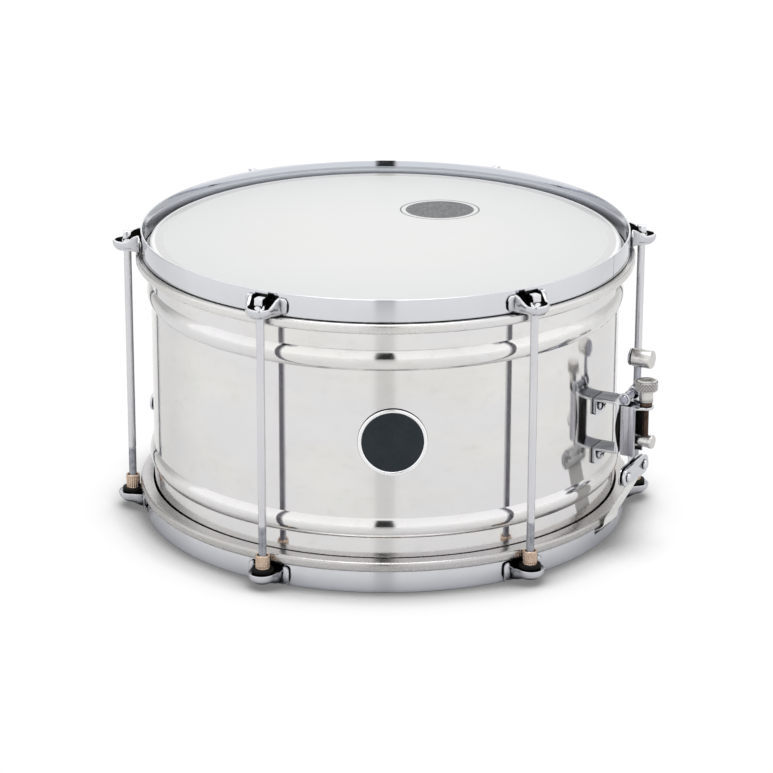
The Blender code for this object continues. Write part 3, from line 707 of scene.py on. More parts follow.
# ================================================================ heads
PLAY = 182.6
film_pts = [(0, PLAY), (60, PLAY), (120, PLAY), (144.0, PLAY), (147.0, PLAY),
            (148.6, PLAY - 0.02), (149.8, PLAY - 0.15), (150.7, PLAY - 0.42),
            (151.4, PLAY - 0.9), (151.95, PLAY - 1.6), (152.3, PLAY - 2.4),
            (152.75, PLAY - 4.2), (153.25, 176.3), (153.6, 176.05), (155.0, 176.0),
            (155.0, 175.5), (152.9, 175.5), (152.5, 177.2), (152.0, 179.6),
            (151.4, 181.0), (150.5, 181.7), (149.4, PLAY - 0.6), (148.0, PLAY - 0.6),
            (120, PLAY - 0.6), (60, PLAY - 0.6), (0, PLAY - 0.6)]
place(lathe(film_pts, 224), "batter_head", "film", angle=50)
place(lathe([(r, HEIGHT - z) for r, z in reversed(film_pts)], 224), "snare_head",
      "film_low", angle=50)

# ================================================================ hoops
hoop_pts = [(157.5, 190.0), (157.5, 175.6), (155.5, 175.6), (155.5, 185.6), (156.35, 190.0)]
hoop_fine = rounded_profile(hoop_pts, [0.8, 0.5, 0.35, 0.6, 0.3], 5)
top_hoop = place(lathe(hoop_fine, 256), "top_hoop", "hoop", angle=40)
low = lathe([(r, HEIGHT - z) for r, z in reversed(hoop_fine)], 256)
gates = []
for ang in (60, 240):
    g = plate([(160 - 10, -13.0), (162, -13.0), (162, 13.0), (150, 13.0)], 8.9, 13.1)
    g = bevelled(g, 1.2, 3)
    g.transform(Matrix.Rotation(math.radians(ang - 90), 4, "Z"))
    gates.append(("DIFFERENCE", g))
place(combine(low, *gates), "bottom_hoop", "hoop", angle=40)


# ================================================================ ears
def fillet(points, radius, n=6):
    """Round the inner corners of an open path of (x, y) points."""
    out = [points[0]]
    for i in range(1, len(points) - 1):
        p = Vector(points[i])
        a = Vector(points[i - 1]) - p
        b = Vector(points[i + 1]) - p
        r = min(radius, a.length * 0.49, b.length * 0.49)
        pa, pb = p + a.normalized() * r, p + b.normalized() * r
        for k in range(n + 1):
            t = k / n
            q = pa * (1 - t) ** 2 + p * 2 * t * (1 - t) + pb * t * t
            out.append((q.x, q.y))
    out.append(points[-1])
    return out


def ear_mesh(h_out, h_in, tab_lo, tab_hi, hole_r, draft, toe, floor_t=2.0):
    """Cup and flange tabs as one band swept in plan, with a drilled floor.

    draft draws the open rim in, toe draws the floor's edge in."""
    hoop = lambda y: math.sqrt(HOOP_R ** 2 - y * y) - ROD_CIRCLE
    th, cx, cr = 1.5, 0.9, 7.95
    # plan of the band's middle line, from one tab's end round the cup to the other
    half = [(hoop(14.2) + 1.35, 14.2), (hoop(12.0) + 1.35, 12.0),
            (hoop(9.8) + 1.4, 9.8), (-2.9, 8.9), (cx, cr)]
    half = fillet(half, 0.9, 5)
    arc = [(cx + cr * math.cos(a), cr * math.sin(a))
           for a in (math.pi / 2 - math.pi / 2 * i / 14 for i in range(1, 15))]
    half = half + arc
    # even out the spacing near the tab end so that its round end is smooth
    end = half[0]
    extra = []
    for i in range(1, 8):
        t = i / 8
        y = 14.2 - 2.0 * t
        extra.append((hoop(y) + 1.35, y))
    half = [end] + extra + [p for p in half[1:] if p[1] < 12.1 or p[0] > -7]
    path = half + [(x, -y) for x, y in reversed(half[:-1])]
    bm = bmesh.new()
    loops, tabs = [], []
    count = len(path)
    rows = 9
    for i, (x, y) in enumerate(path):
        p = Vector((x, y))
        a = Vector(path[max(0, i - 1)])
        b = Vector(path[min(count - 1, i + 1)])
        t = (b - a).normalized()
        nrm = Vector((-t.y, t.x))
        if nrm.dot(p - Vector((cx, 0))) < 0 and x > -6.8:
            nrm = -nrm
        if x <= -6.8:
            t2 = Vector((math.sqrt(max(0.0, HOOP_R ** 2 - y * y)), y)).normalized()
            blend = min(1.0, max(0.0, (abs(y) - 9.3) / 1.4))
            out_n = Vector((0.25, 1.0 if y > 0 else -1.0)).normalized()
            nrm = (t2 * blend + out_n * (1 - blend)).normalized()
        # how far this point is along the tab, and the band's height there
        tab = min(1.0, max(0.0, (abs(y) - 9.5) / 1.1)) if x < -5.4 else 0.0
        tab = tab * tab * (3 - 2 * tab)
        s = min(1.0, max(0.0, (x + 6.5) / 9.0))
        s = s * s * (3 - 2 * s)
        z1 = h_in + (h_out - h_in) * s
        z0 = 0.0
        z1 = z1 + (tab_hi - z1) * tab
        z0 = z0 + (tab_lo - z0) * tab
        c = 0.35 + 0.55 * tab
        half_t = th / 2
        if abs(y) > 12.0 and x < -5.8:
            e = (abs(y) - 12.0) / 2.2
            drop = 2.6 * (1 - math.sqrt(max(0.0, 1 - e * e)))
            z0 += drop
            z1 -= drop
            half_t = th / 2 * (1 - 0.45 * e * e)
        d = draft * (1 - tab)
        k_toe = toe * (1 - tab) * min(1.0, max(0.0, (x + 7.5) / 6.0))
        loop = []
        outer_side, inner_side = [], []
        for k in range(rows):
            f = k / (rows - 1)
            z = z0 + c + (z1 - z0 - 2 * c) * f
            lean = d * f ** 2.6 + k_toe * (1 - f) ** 3.0
            puff = 0.45 * tab * math.sin(math.pi * f)
            outer_side.append((half_t - lean + puff, z))
            inner_side.append((-half_t - lean * 0.8, z))
        top = [(half_t - d - c * 0.6, z1 - c * 0.2), (-half_t - d * 0.8 + c * 0.6, z1 - c * 0.2)]
        bot = [(-half_t - k_toe * 0.8 + c * 0.8, z0), (half_t - k_toe - c * 0.8, z0)]
        sec = outer_side + top + inner_side[::-1] + bot
        for u, z in sec:
            q = p + nrm * u
            loop.append(bm.verts.new((q.x * MM, q.y * MM, z * MM)))
        loops.append(loop)
        tabs.append(tab)
    for i, (a, b) in enumerate(zip(loops, loops[1:])):
        n = len(a)
        for k in range(n):
            j = (k + 1) % n
            f = bm.faces.new((a[k], a[j], b[j], b[k]))
            # painted shade on the cup's inner side; painted highlight on the rim's top
            if rows + 1 < k < 2 * rows + 2 and (tabs[i] + tabs[i + 1]) / 2 < 0.9:
                f.material_index = 1
            elif rows - 1 <= k <= rows + 1:
                f.material_index = 2
    bm.faces.new(loops[0])
    bm.faces.new(loops[-1][::-1])
    bmesh.ops.recalc_face_normals(bm, faces=bm.faces)
    # floor: a ring from the hole to the band
    outline = [(cx + cr * math.cos(a), cr * math.sin(a))
               for a in (math.pi * (i / 24 - 0.5) for i in range(25))]
    outline += [(-2.9, 8.8), (-7.6, 9.6), (-7.8, 0.0), (-7.6, -9.6), (-2.9, -8.8)]

    def reach(a):
        best = None
        d = Vector((math.cos(a), math.sin(a)))
        m = len(outline)
        for i in range(m):
            p, q = Vector(outline[i]), Vector(outline[(i + 1) % m])
            e = q - p
            det = d.x * (-e.y) + e.x * d.y
            if abs(det) < 1e-9:
                continue
            t = (p.x * (-e.y) + e.x * p.y) / det
            s = (d.x * p.y - d.y * p.x) / det
            if t > 0 and -1e-6 <= s <= 1 + 1e-6:
                best = t if best is None else min(best, t)
        return best or 7.0

    seg = 64
    rings = []
    for k in range(seg):
        a = 2 * math.pi * k / seg
        r = reach(a)
        c, s = math.cos(a), math.sin(a)
        k_toe = toe * min(1.0, max(0.0, (r * c + 7.5) / 6.0))
        pts = [(hole_r + 0.4, floor_t), (r, floor_t), (r - k_toe * 0.75, 0.4),
               (r - k_toe - 0.1, 0.0), (hole_r + 0.4, 0.0), (hole_r, 0.4),
               (hole_r, floor_t - 0.4)]
        rings.append([bm.verts.new((q * c * MM, q * s * MM, z * MM)) for q, z in pts])
    floor_faces = []
    for k in range(seg):
        a, b = rings[k], rings[(k + 1) % seg]
        for i in range(7):
            j = (i + 1) % 7
            f = bm.faces.new((a[i], b[i], b[j], a[j]))
            # painted shade on the floor's top
            f.material_index = 1 if i == 0 else 0
    bmesh.ops.recalc_face_normals(bm, faces=bm.faces)
    me = bpy.data.meshes.new("ear")
    bm.to_mesh(me)
    bm.free()
    me.materials.append(M["ear"])
    me.materials.append(M["dark"])
    me.materials.append(M["lip"])
    return smooth(me, 38)


TOP_FLOOR, BOTTOM_FLOOR = 176.5, 10.2
top_ear = ear_mesh(6.2, 11.0, 0.3, 10.7, 3.0, 0.2, 2.2)
low_ear = ear_mesh(6.7, 9.4, -2.5, 9.5, 5.2, 3.4, 0.0)
low_ear.transform(Matrix.Rotation(math.pi, 4, "X"))

# ================================================================ rods, nuts, washers
SEAT = TOP_FLOOR + 2.3


def rod_mesh():
    pts = [(0, 2.8), (1.7, 2.8), (2.2, 3.3), (2.35, 3.8)]
    z = 4.2
    while z < 39.6:
        pts += [(2.48, z), (2.48, z + 0.22), (2.2, z + 0.48), (2.2, z + 0.62)]
        z += 0.8
    pts += [(2.44, 40.2), (2.5, 41.0), (2.5, 100.0), (2.5, SEAT), (4.1, SEAT),
            (4.3, SEAT + 0.25), (4.3, SEAT + 1.0), (4.1, SEAT + 1.4), (3.3, SEAT + 1.9),
            (0, SEAT + 1.9)]
    shaft = smooth(lathe(pts[::-1], 24), 50)
    head = box(-2.8, 2.8, -2.8, 2.8, SEAT + 1.2, SEAT + 9.4)
    for v in head.vertices:
        if v.co.z > (SEAT + 5) * MM:
            v.co.x *= 0.95
            v.co.y *= 0.95
    head = bevelled(head, 0.5, 3)
    skirt = lathe([(0, SEAT + 4.6), (2.9, SEAT + 4.6), (3.2, SEAT + 4.2), (4.2, SEAT + 2.4),
                   (4.2, SEAT + 1.5), (0, SEAT + 1.5)], 40)
    return joined(painted(shaft, "rod"), painted(head, "head"),
                  painted(smooth(skirt, 40), "head"))


def nut_mesh():
    def ribs(a, r, z):
        if r > 4.38 and 8.2 < z < 20.3:
            return r - 0.24 * abs(math.sin(11 * a)) ** 0.5
        return r
    pts = [(2.9, 20.2), (3.4, 21.0), (3.7, 21.5), (4.0, 21.6), (4.3, 21.4), (4.48, 20.9),
           (4.5, 20.5), (4.4, 20.2), (4.45, 19.8), (4.45, 14.6), (4.45, 14.0), (4.4, 13.6),
           (4.5, 13.3), (4.5, 7.9), (5.6, 7.8), (5.7, 7.6), (5.7, 6.0), (5.6, 5.8),
           (2.9, 5.8)]
    me = smooth(lathe(pts, 132, ribs), 40)
    me.materials.append(M["nut"])
    me.materials.append(M["dark"])
    for f in me.polygons:
        # painted shade: the top of the bore is near-black
        if f.center.z > 0.0202 and math.hypot(f.center.x, f.center.y) < 0.0034:
            f.material_index = 1
    return me


washer_pts = rounded_profile([(6.9, 12.8), (6.9, 10.5), (4.9, 10.5), (4.9, 12.8)],
                             [0.8, 0.4, 0.2, 0.4], 4)
rod_fine, nut_fine = rod_mesh(), nut_mesh()
washer_fine = painted(smooth(lathe(washer_pts, 48), 45), "washer")
for k, ang in enumerate(RODS, 1):
    place(top_ear, f"top_ear_{k}", matrix=about(ang, ROD_CIRCLE, 0, TOP_FLOOR))
    place(low_ear, f"bottom_ear_{k}", matrix=about(ang, ROD_CIRCLE, 0, BOTTOM_FLOOR))
    place(rod_fine, f"tension_rod_{k}", matrix=about(ang, ROD_CIRCLE))
    place(nut_fine, f"tension_nut_{k}", matrix=about(ang, ROD_CIRCLE))
    place(washer_fine, f"nut_washer_{k}", matrix=about(ang, ROD_CIRCLE))


# ================================================================ badge
def badge_mesh():
    """Disc wrapped on the shell: bright raised rim, dark field."""
    rows = [(0.0, 0.75, 1), (8.0, 0.75, 1), (16.0, 0.75, 1), (19.2, 0.72, 1), (19.3, 0.9, 0),
            (19.6, 1.12, 0), (20.3, 1.2, 0), (21.1, 1.12, 0), (21.45, 0.9, 0), (21.5, 0.6, 2),
            (21.7, 0.3, 2), (21.7, 0.0, 2), (0.0, 0.0, 0)]
    seg = 96
    bm = bmesh.new()
    rings = []
    for r, h, _ in rows:
        ring = []
        for k in range(seg if r else 1):
            a = 2 * math.pi * k / seg
            u, w = r * math.cos(a), r * math.sin(a)
            R = 151.95 + h
            phi = u / 152.5 - math.radians(1.2)
            ring.append(bm.verts.new((R * math.sin(phi) * MM, -R * math.cos(phi) * MM,
                                      (97.2 + w) * MM)))
        rings.append(ring)
    for i, (a, b) in enumerate(zip(rings, rings[1:])):
        for k in range(seg):
            j = (k + 1) % seg
            if len(a) == 1:
                f = bm.faces.new((a[0], b[k], b[j]))
            elif len(b) == 1:
                f = bm.faces.new((a[k], b[0], a[j]))
            else:
                f = bm.faces.new((a[k], b[k], b[j], a[j]))
            # painted shade on the badge's outer edge; the field is enamel
            f.material_index = 1 if (rows[i][2] == 1 and rows[i + 1][2] == 1) else (
                2 if rows[i + 1][2] == 2 else 0)
    bmesh.ops.recalc_face_normals(bm, faces=bm.faces)
    me = bpy.data.meshes.new("badge")
    bm.to_mesh(me)
    bm.free()
    me.materials.append(M["rim"])
    me.materials.append(M["enamel"])
    me.materials.append(M["dark"])
    return smooth(me, 45)


place(badge_mesh(), "badge")

# ================================================================ strainer
ST, BU = about(60), about(240)
SR = SHELL_R + 0.3
LEVER_N, LEVER_Z, LEVER_Y = 172.5, 101.5, 12.0
HANDLE_Z, BARREL_Z, SCREW_N = 123.5, 73.5, 184.3
CZ0, CZ1, PIN_Y = 46.2, 58.4, 13.2


def arc_pts(r, half_width, count, reverse=False):
    top = math.asin(half_width / r)
    pts = [(r * math.cos(a), r * math.sin(a))
           for a in (top * (2 * i / (count - 1) - 1) for i in range(count))]
    return pts[::-1] if reverse else pts


def rounded(x0, x1, y0, y1, rad, n=9):
    pts = []
    for cx, cy, a0 in ((x1 - rad, y1 - rad, 0), (x0 + rad, y1 - rad, 90),
                       (x0 + rad, y0 + rad, 180), (x1 - rad, y0 + rad, 270)):
        for i in range(n):
            a = math.radians(a0 + 90 * i / (n - 1))
            pts.append((cx + rad * math.cos(a), cy + rad * math.sin(a)))
    return pts


def foot(half, z0, z1, thick=1.6):
    return plate(arc_pts(SR + thick, half, 13) + arc_pts(SR, half, 13, True), z0, z1)


def foot_round(half, z0, z1, thick=1.6):
    """A foot whose lower corners are rounded."""
    blank = foot(half, z0, z1, thick)
    shape = moved(plate(rounded(-half, half, z0, z1 + 6, 3.2), 145, 160), rot=UPRIGHT_YZ)
    return combine(blank, ("INTERSECT", shape))


def shelf(half, x1, z0, z1):
    return plate([(x1, -half), (x1, half)] + arc_pts(SR, half, 13, True), z0, z1)


def pan_hole(z):
    return moved(moved(cylinder(2.0, 145, 160, 24), rot=ALONG_X), z=z)


ear_out = ([(166.5, 97.4), (171.0, 98.0), (174.6, 98.0)] +
           [(LEVER_N + 4.1 * math.cos(math.radians(a)), LEVER_Z + 4.1 * math.sin(math.radians(a)))
            for a in range(-40, 130, 12)] + [(168.9, 102.6), (166.5, 100.2)])
# the flanges are drawn in like a waist
waist = ([(169.5, 67.2)] + [(169.5 - 2.4 * math.sin(math.pi * i / 20), 67.2 + 29.2 * i / 20)
                            for i in range(1, 20)] + [(169.5, 96.4)])
base = combine(
    foot_round(8.0, 87.2, 98.5),
    ("UNION", shelf(8.0, 168.3, 97.4, 99.0)),
    ("UNION", foot_round(8.0, 54.2, 65.5)),
    ("UNION", shelf(8.0, 168.3, 64.4, 66.0)),
    ("UNION", box(166.9, 168.3, -8.0, 8.0, 64.5, 98.9)),
    ("UNION", box(166.8, 169.4, -8.0, -6.6, 64.6, 98.8)),
    ("UNION", box(166.8, 169.4, 6.6, 8.0, 64.6, 98.8)),
    ("UNION", moved(plate(ear_out, 6.6, 8.0), rot=UPRIGHT_XZ)),
    ("UNION", moved(plate(ear_out, -8.0, -6.6), rot=UPRIGHT_XZ)),
    ("DIFFERENCE", pan_hole(93.2)),
    ("DIFFERENCE", pan_hole(60.2)),
    ("DIFFERENCE", moved(plate(waist, -8.3, -6.3), rot=UPRIGHT_XZ)),
    ("DIFFERENCE", moved(plate(waist, 6.3, 8.3), rot=UPRIGHT_XZ)),
    ("DIFFERENCE", moved(moved(cylinder(2.3, -12, 12, 32), rot=ALONG_Y), x=LEVER_N, z=LEVER_Z)))
base = bevelled(base, 0.3, 2)
base.materials.clear()
base.materials.append(M["strainer"])
base.materials.append(M["dark"])
base.materials.append(M["shelf"])
for f in base.polygons:
    c = f.center
    # painted shade inside the channel between the flanges
    if 0.1668 < c.x < 0.1692 and abs(c.y) < 0.0067 and 0.0662 < c.z < 0.0972:
        f.material_index = 1
    # painted shade: the flanges' upward faces get the darker shelf chrome
    if f.normal.z > 0.9 and 0.1525 < c.x < 0.1672:
        f.material_index = 2
place(base, "strainer_base", matrix=ST)

# pan-head screws
pan = lathe([(0, 156.35), (1.2, 156.3), (2.4, 156.05), (3.3, 155.5), (3.9, 154.8),
             (4.1, 154.2), (4.1, SR + 1.9), (1.6, SR + 1.9), (1.6, 148.6), (0, 148.6)], 40)
pan.transform(ALONG_X)
pan = combine(pan, ("DIFFERENCE", box(155.0, 158, -2.3, 2.3, -0.5, 0.5)),
              ("DIFFERENCE", box(155.0, 158, -0.5, 0.5, -2.3, 2.3)))
pan = smooth(pan, 40)
pan.materials.append(M["strainer"])
pan.materials.append(M["dark"])
for f in pan.polygons:
    c = f.center
    # painted shade at the bottom of the cross slot
    if abs(c.x - 0.155) < 0.0001 and math.hypot(c.y, c.z) < 0.0024:
        f.material_index = 1
for name, mtx in (("strainer_screw_upper", about(60, 0, 0, 93.2)),
                  ("strainer_screw_lower", about(60, 0, 0, 60.2)),
                  ("butt_screw", about(240, 0, 0, 66.0))):
    place(pan, name, matrix=mtx)

# throw lever, its pin and handle
pin = lathe(rounded_profile(
    [(0, 14.6), (3.0, 14.4), (3.0, 13.4), (2.0, 13.4), (2.0, 10.6), (3.4, 10.6),
     (3.4, 8.3), (2.0, 8.3), (2.0, 6.2), (2.6, 6.2), (2.6, -6.2), (2.0, -6.2),
     (2.0, -8.3), (3.0, -8.3), (2.8, -9.0), (1.9, -9.8), (0, -10.1)], 0.35, 3), 40)
pin.transform(ALONG_Y)
place(smooth(pin, 45), "lever_pin", "lever", about(60, LEVER_N, 0, LEVER_Z))
lever_out = ([(-0.5, 19.6), (-0.5, 8.4), (-1.5, 5.8)] +
             [(4.3 * math.cos(math.radians(a)), 4.3 * math.sin(math.radians(a)))
              for a in range(125, 416, 10)] + [(2.9, 5.8), (2.7, 8.4), (2.7, 19.6)])
lever = moved(plate(lever_out, -1.1, 1.1), y=LEVER_Y, rot=UPRIGHT_XZ)
lever = combine(lever, ("DIFFERENCE", moved(cylinder(2.3, 8, 16, 32), rot=ALONG_Y)))
place(bevelled(lever, 0.35, 2), "throw_lever", "lever", about(60, LEVER_N, 0, LEVER_Z))
handle = lathe(rounded_profile(
    [(0, 183.0), (5.8, 183.0), (5.8, 170.3), (4.6, 170.3), (4.6, 169.3), (5.5, 169.3),
     (5.5, 168.0), (0, 168.0)], [0, 0.9, 0.35, 0.1, 0.1, 0.35, 0.45, 0], 4), 64)
handle = moved(handle, rot=ALONG_X)
handle = moved(handle, x=-LEVER_N, y=LEVER_Y, z=HANDLE_Z - LEVER_Z)
handle = combine(handle, ("DIFFERENCE",
                          box(-0.8, 3.0, LEVER_Y - 1.4, LEVER_Y + 1.4, 14.0, 19.9)))
smooth(handle, 35)
handle.materials.clear()
handle.materials.append(M["nickel"])
handle.materials.append(M["dark"])
handle.materials.append(M["lever"])
for f in handle.polygons:
    c = f.center
    deep = math.hypot(c.y - LEVER_Y * MM, c.z - (HANDLE_Z - LEVER_Z) * MM)
    # painted shade down in the groove
    if -0.0034 < c.x < -0.0021 and 0.004 < deep < 0.0052:
        f.material_index = 1
    elif c.x < -0.0033:
        f.material_index = 2
place(handle, "lever_handle", matrix=about(60, LEVER_N, 0, LEVER_Z))

# sliding bracket
arm = ([(170.3, 7.5), (170.3, -7.5), (180.0, -7.5)] +
       [(SCREW_N + 5.0 * math.sin(math.radians(a)), -5.0 * math.cos(math.radians(a)))
        for a in range(0, 181, 12)] + [(180.0, 7.5)])
slide = combine(plate(arm, 95.3, 97.1),
                ("UNION", box(170.3, 180.0, 6.1, 7.5, 64.0, 97.0)),
                ("UNION", box(170.3, 180.0, -7.5, -6.1, 64.0, 97.0)),
                ("DIFFERENCE", moved(cylinder(2.4, 90, 100, 32), x=SCREW_N)))
slide = bevelled(slide, 0.3, 2)
slide.materials.clear()
for name in ("brushed", "dark", "strainer"):
    slide.materials.append(M[name])
for f in slide.polygons:
    c, up = f.center, f.normal.z
    # painted shade inside the channel, bright bent top
    if abs(c.y) < 0.0061 and c.z < 0.0954 and c.x < 0.181:
        f.material_index = 1
    elif c.z > 0.0952:
        f.material_index = 2
place(slide, "slide_bracket", matrix=ST)

# tension screw: turned thread between the collar and the cross nut
pts = [(0, 110.4), (1.6, 110.4), (2.0, 110.0), (2.0, 99.3), (3.9, 99.3), (4.0, 99.1),
       (4.0, 97.7), (3.9, 97.5), (2.0, 97.5), (2.0, 96.9)]
z = 96.6
while z > 71.9:
    pts += [(2.0, z), (2.0, z - 0.2), (1.74, z - 0.4), (1.74, z - 0.52)]
    z -= 0.7
pts += [(1.9, 71.5), (1.4, 70.8), (0, 70.8)]
place(lathe(pts, 24), "tension_screw", "screw", about(60, SCREW_N), angle=50)


def knob_radius(a, r, z):
    if r > 7.0 and 107.9 < z < 113.1:
        k = 21
        d1 = abs(math.sin(k * a / 2 + (z - 108) * 1.3))
        d2 = abs(math.sin(k * a / 2 - (z - 108) * 1.3))
        return r - 0.55 + 0.55 * min(1.0, min(d1, d2) * 1.35)
    if 4.2 < r < 4.6 and z < 107:
        return r - 0.14 * (0.5 - 0.5 * math.cos(20 * a))
    return r


kn = [(0, 112.7), (2.5, 112.8), (4.4, 113.15), (5.6, 113.7), (6.2, 113.9), (6.7, 113.75),
      (7.1, 113.4), (7.25, 113.0)]
kn += [(7.25, 113.0 - 0.2 * i) for i in range(1, 25)]
kn += [(7.25, 108.0), (6.9, 107.6), (6.4, 107.5), (4.5, 107.5), (4.4, 107.3), (4.4, 105.0),
       (4.4, 102.0), (4.4, 100.0), (4.2, 99.7), (2.3, 99.7), (2.3, 110.7), (0, 110.7)]
place(lathe(kn, 252, knob_radius), "tension_knob", "knurl", about(60, SCREW_N), angle=60)

# carriage and clamp
full = rounded(-19.5, 19.5, CZ0, CZ1, 5.5, 9)


def tee(half, top, x0, x1, z0=CZ0, z1=CZ1):
    f = rounded(-19.5, 19.5, z0, z1, 5.5, 9)
    tab = moved(plate([(half, z1 - 1.0), (half, top), (-half, top), (-half, z1 - 1.0)], x0, x1),
                rot=UPRIGHT_YZ)
    return combine(moved(plate(f, x0, x1), rot=UPRIGHT_YZ), ("UNION", tab))


def cross_hole(y, zc, x0=150, x1=190):
    return moved(moved(cylinder(1.8, x0, x1, 28), rot=ALONG_X), y=y, z=zc)


mid = (CZ0 + CZ1) / 2
block = bevelled(box(169.8, 175.3, -5.5, 5.5, 63.5, 93.5), 0.9, 3)
grooved = combine(block, ("DIFFERENCE", bevelled(box(174.9, 176, -2.2, 2.2, 66, 91), 0.3, 1)))
carriage = combine(tee(4.5, 66.0, 174.8, 176.0), ("DIFFERENCE", cross_hole(PIN_Y, mid)),
                   ("DIFFERENCE", cross_hole(-PIN_Y, mid)))
place(joined(painted(smooth(grooved, 40), "strainer"),
             painted(bevelled(carriage, 0.25, 2), "strainer")), "snare_carriage", matrix=ST)

barrel = lathe(rounded_profile(
    [(0, 190.0), (4.4, 190.0), (4.4, 187.4), (4.1, 187.2), (4.1, 177.4), (3.0, 177.2),
     (3.0, 175.6), (0, 175.6)], [0, 0.8, 0.2, 0, 0.3, 0, 0.3, 0], 4), 44)
barrel.transform(ALONG_X)
barrel = combine(moved(barrel, z=BARREL_Z),
                 ("DIFFERENCE", moved(cylinder(2.3, 60, 90, 28), x=SCREW_N)))
place(barrel, "barrel_nut", "nickel", ST, angle=35)

outer_plate = combine(moved(plate(full, 177.4, 179.2), rot=UPRIGHT_YZ),
                      ("DIFFERENCE", cross_hole(PIN_Y, mid)),
                      ("DIFFERENCE", cross_hole(-PIN_Y, mid)))
place(bevelled(outer_plate, 0.4, 3), "strainer_clamp_plate", "strainer", ST)
cs = lathe([(0, 181.4), (0.6, 181.39), (1.2, 181.34), (1.8, 181.22), (2.3, 181.04),
            (2.8, 180.72), (3.1, 180.3), (3.2, 179.95), (3.2, 179.5),
            (1.5, 179.5), (1.5, 173.4), (0, 173.4)], 36)
cs.transform(ALONG_X)
cs = painted(smooth(cs, 40), "strainer")
for k, y in ((1, -PIN_Y), (2, PIN_Y)):
    place(cs, f"strainer_clamp_screw_{k}", matrix=about(60, 0, y, mid))


# ================================================================ straps
def catmull(points, per=8):
    out = []
    n = len(points)
    for i in range(n - 1):
        p0 = Vector(points[max(0, i - 1)])
        p1, p2 = Vector(points[i]), Vector(points[i + 1])
        p3 = Vector(points[min(n - 1, i + 2)])
        for k in range(per):
            t = k / per
            q = 0.5 * ((2 * p1) + (p2 - p0) * t + (2 * p0 - 5 * p1 + 4 * p2 - p3) * t * t +
                       (3 * p1 - p0 - 3 * p2 + p3) * t ** 3)
            out.append((q.x, q.y))
    out.append(points[-1])
    return out


def strap(path, half=10.5, t=0.7):
    """A flat band along (x, z) points with softly rounded edges."""
    pts = catmull(path)
    cross = [(-half, 0.0), (-half + 0.2, t / 2), (-half * 0.5, t / 2), (0, t / 2),
             (half * 0.5, t / 2), (half - 0.2, t / 2), (half, 0.0), (half - 0.2, -t / 2),
             (0, -t / 2), (-half + 0.2, -t / 2)]
    bm = bmesh.new()
    loops = []
    for i, (x, z) in enumerate(pts):
        a = Vector(pts[max(0, i - 1)])
        b = Vector(pts[min(len(pts) - 1, i + 1)])
        d = (b - a).normalized()
        nx, nz = d.y, -d.x
        loops.append([bm.verts.new(((x + nx * h) * MM, y * MM, (z + nz * h) * MM))
                      for y, h in cross])
    for a, b in zip(loops, loops[1:]):
        n = len(a)
        for k in range(n):
            j = (k + 1) % n
            bm.faces.new((a[k], a[j], b[j], b[k]))
    bm.faces.new(loops[0])
    bm.faces.new(loops[-1][::-1])
    return smooth(mesh_from(bm, "strap"), 40)


UNDER = [(112.0, 6.1), (140.0, 6.1), (150.3, 6.4), (154.0, 9.3), (156.5, 10.9),
         (159.6, 12.6), (162.0, 15.2), (163.0, 20.0)]
s1 = strap(UNDER + [(166.4, 26.0), (170.3, 33.0), (174.0, 39.6), (176.1, 43.8),
                    (176.7, 47.0), (176.7, 55.5)])
s1.transform(ST)
sob = place(s1, "strainer_strap", "strap")
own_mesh(sob)
place(strap(UNDER + [(163.6, 26.0), (164.9, 32.0), (166.0, 37.5), (166.1, 42.0),
                     (166.1, 50.0)]), "butt_strap", "strap", BU)

# ================================================================ butt end
BZ0, BZ1 = 40.0, 52.2
bmid = (BZ0 + BZ1) / 2
bracket = combine(foot(9.0, 58.8, 72.0), ("UNION", shelf(9.0, 165.4, 58.6, 60.1)),
                  ("UNION", tee(9.0, 60.0, 164.2, 165.4, BZ0, BZ1)),
                  ("DIFFERENCE", pan_hole(66.0)),
                  ("DIFFERENCE", cross_hole(PIN_Y, bmid, 160, 175)),
                  ("DIFFERENCE", cross_hole(-PIN_Y, bmid, 160, 175)))
place(bevelled(bracket, 0.3, 2), "butt_bracket", "strainer", BU)
bplate = combine(moved(plate(rounded(-19.5, 19.5, BZ0, BZ1, 5.5, 9), 166.8, 168.6),
                       rot=UPRIGHT_YZ),
                 ("DIFFERENCE", cross_hole(PIN_Y, bmid, 160, 175)),
                 ("DIFFERENCE", cross_hole(-PIN_Y, bmid, 160, 175)))
place(bevelled(bplate, 0.4, 3), "butt_clamp_plate", "strainer", BU)
for k, y in ((1, -PIN_Y), (2, PIN_Y)):
    place(cs, f"butt_clamp_screw_{k}", matrix=about(240, -10.6, y, bmid))

# ================================================================ snare wires
WIRES, WIRE_R = 10, 0.95


def coil():
    """One coiled wire, as a close-wound thread form."""
    pts = [(0.0, 106.5)]
    z = 106.0
    while z > -106.0:
        pts += [(WIRE_R, z), (WIRE_R, z - 0.3), (WIRE_R * 0.72, z - 0.55),
                (WIRE_R * 0.72, z - 0.7)]
        z -= 0.9
    pts += [(0.0, -106.8)]
    me = lathe(pts, 10)
    me.transform(ALONG_X)
    return me


one = coil()
wires = []
for i in range(WIRES):
    w = one.copy()
    wires.append(painted(moved(w, y=(i - (WIRES - 1) / 2) * 2.1, z=6.05), "wire"))
for x0, x1 in ((-121, -103), (103, 121)):
    wires.append(painted(bevelled(box(x0, x1, -10.5, 10.5, 4.6, 5.4), 0.2, 2), "strainer"))
snares = joined(*wires)
place(smooth(snares, 60), "snare_wires", matrix=ST)

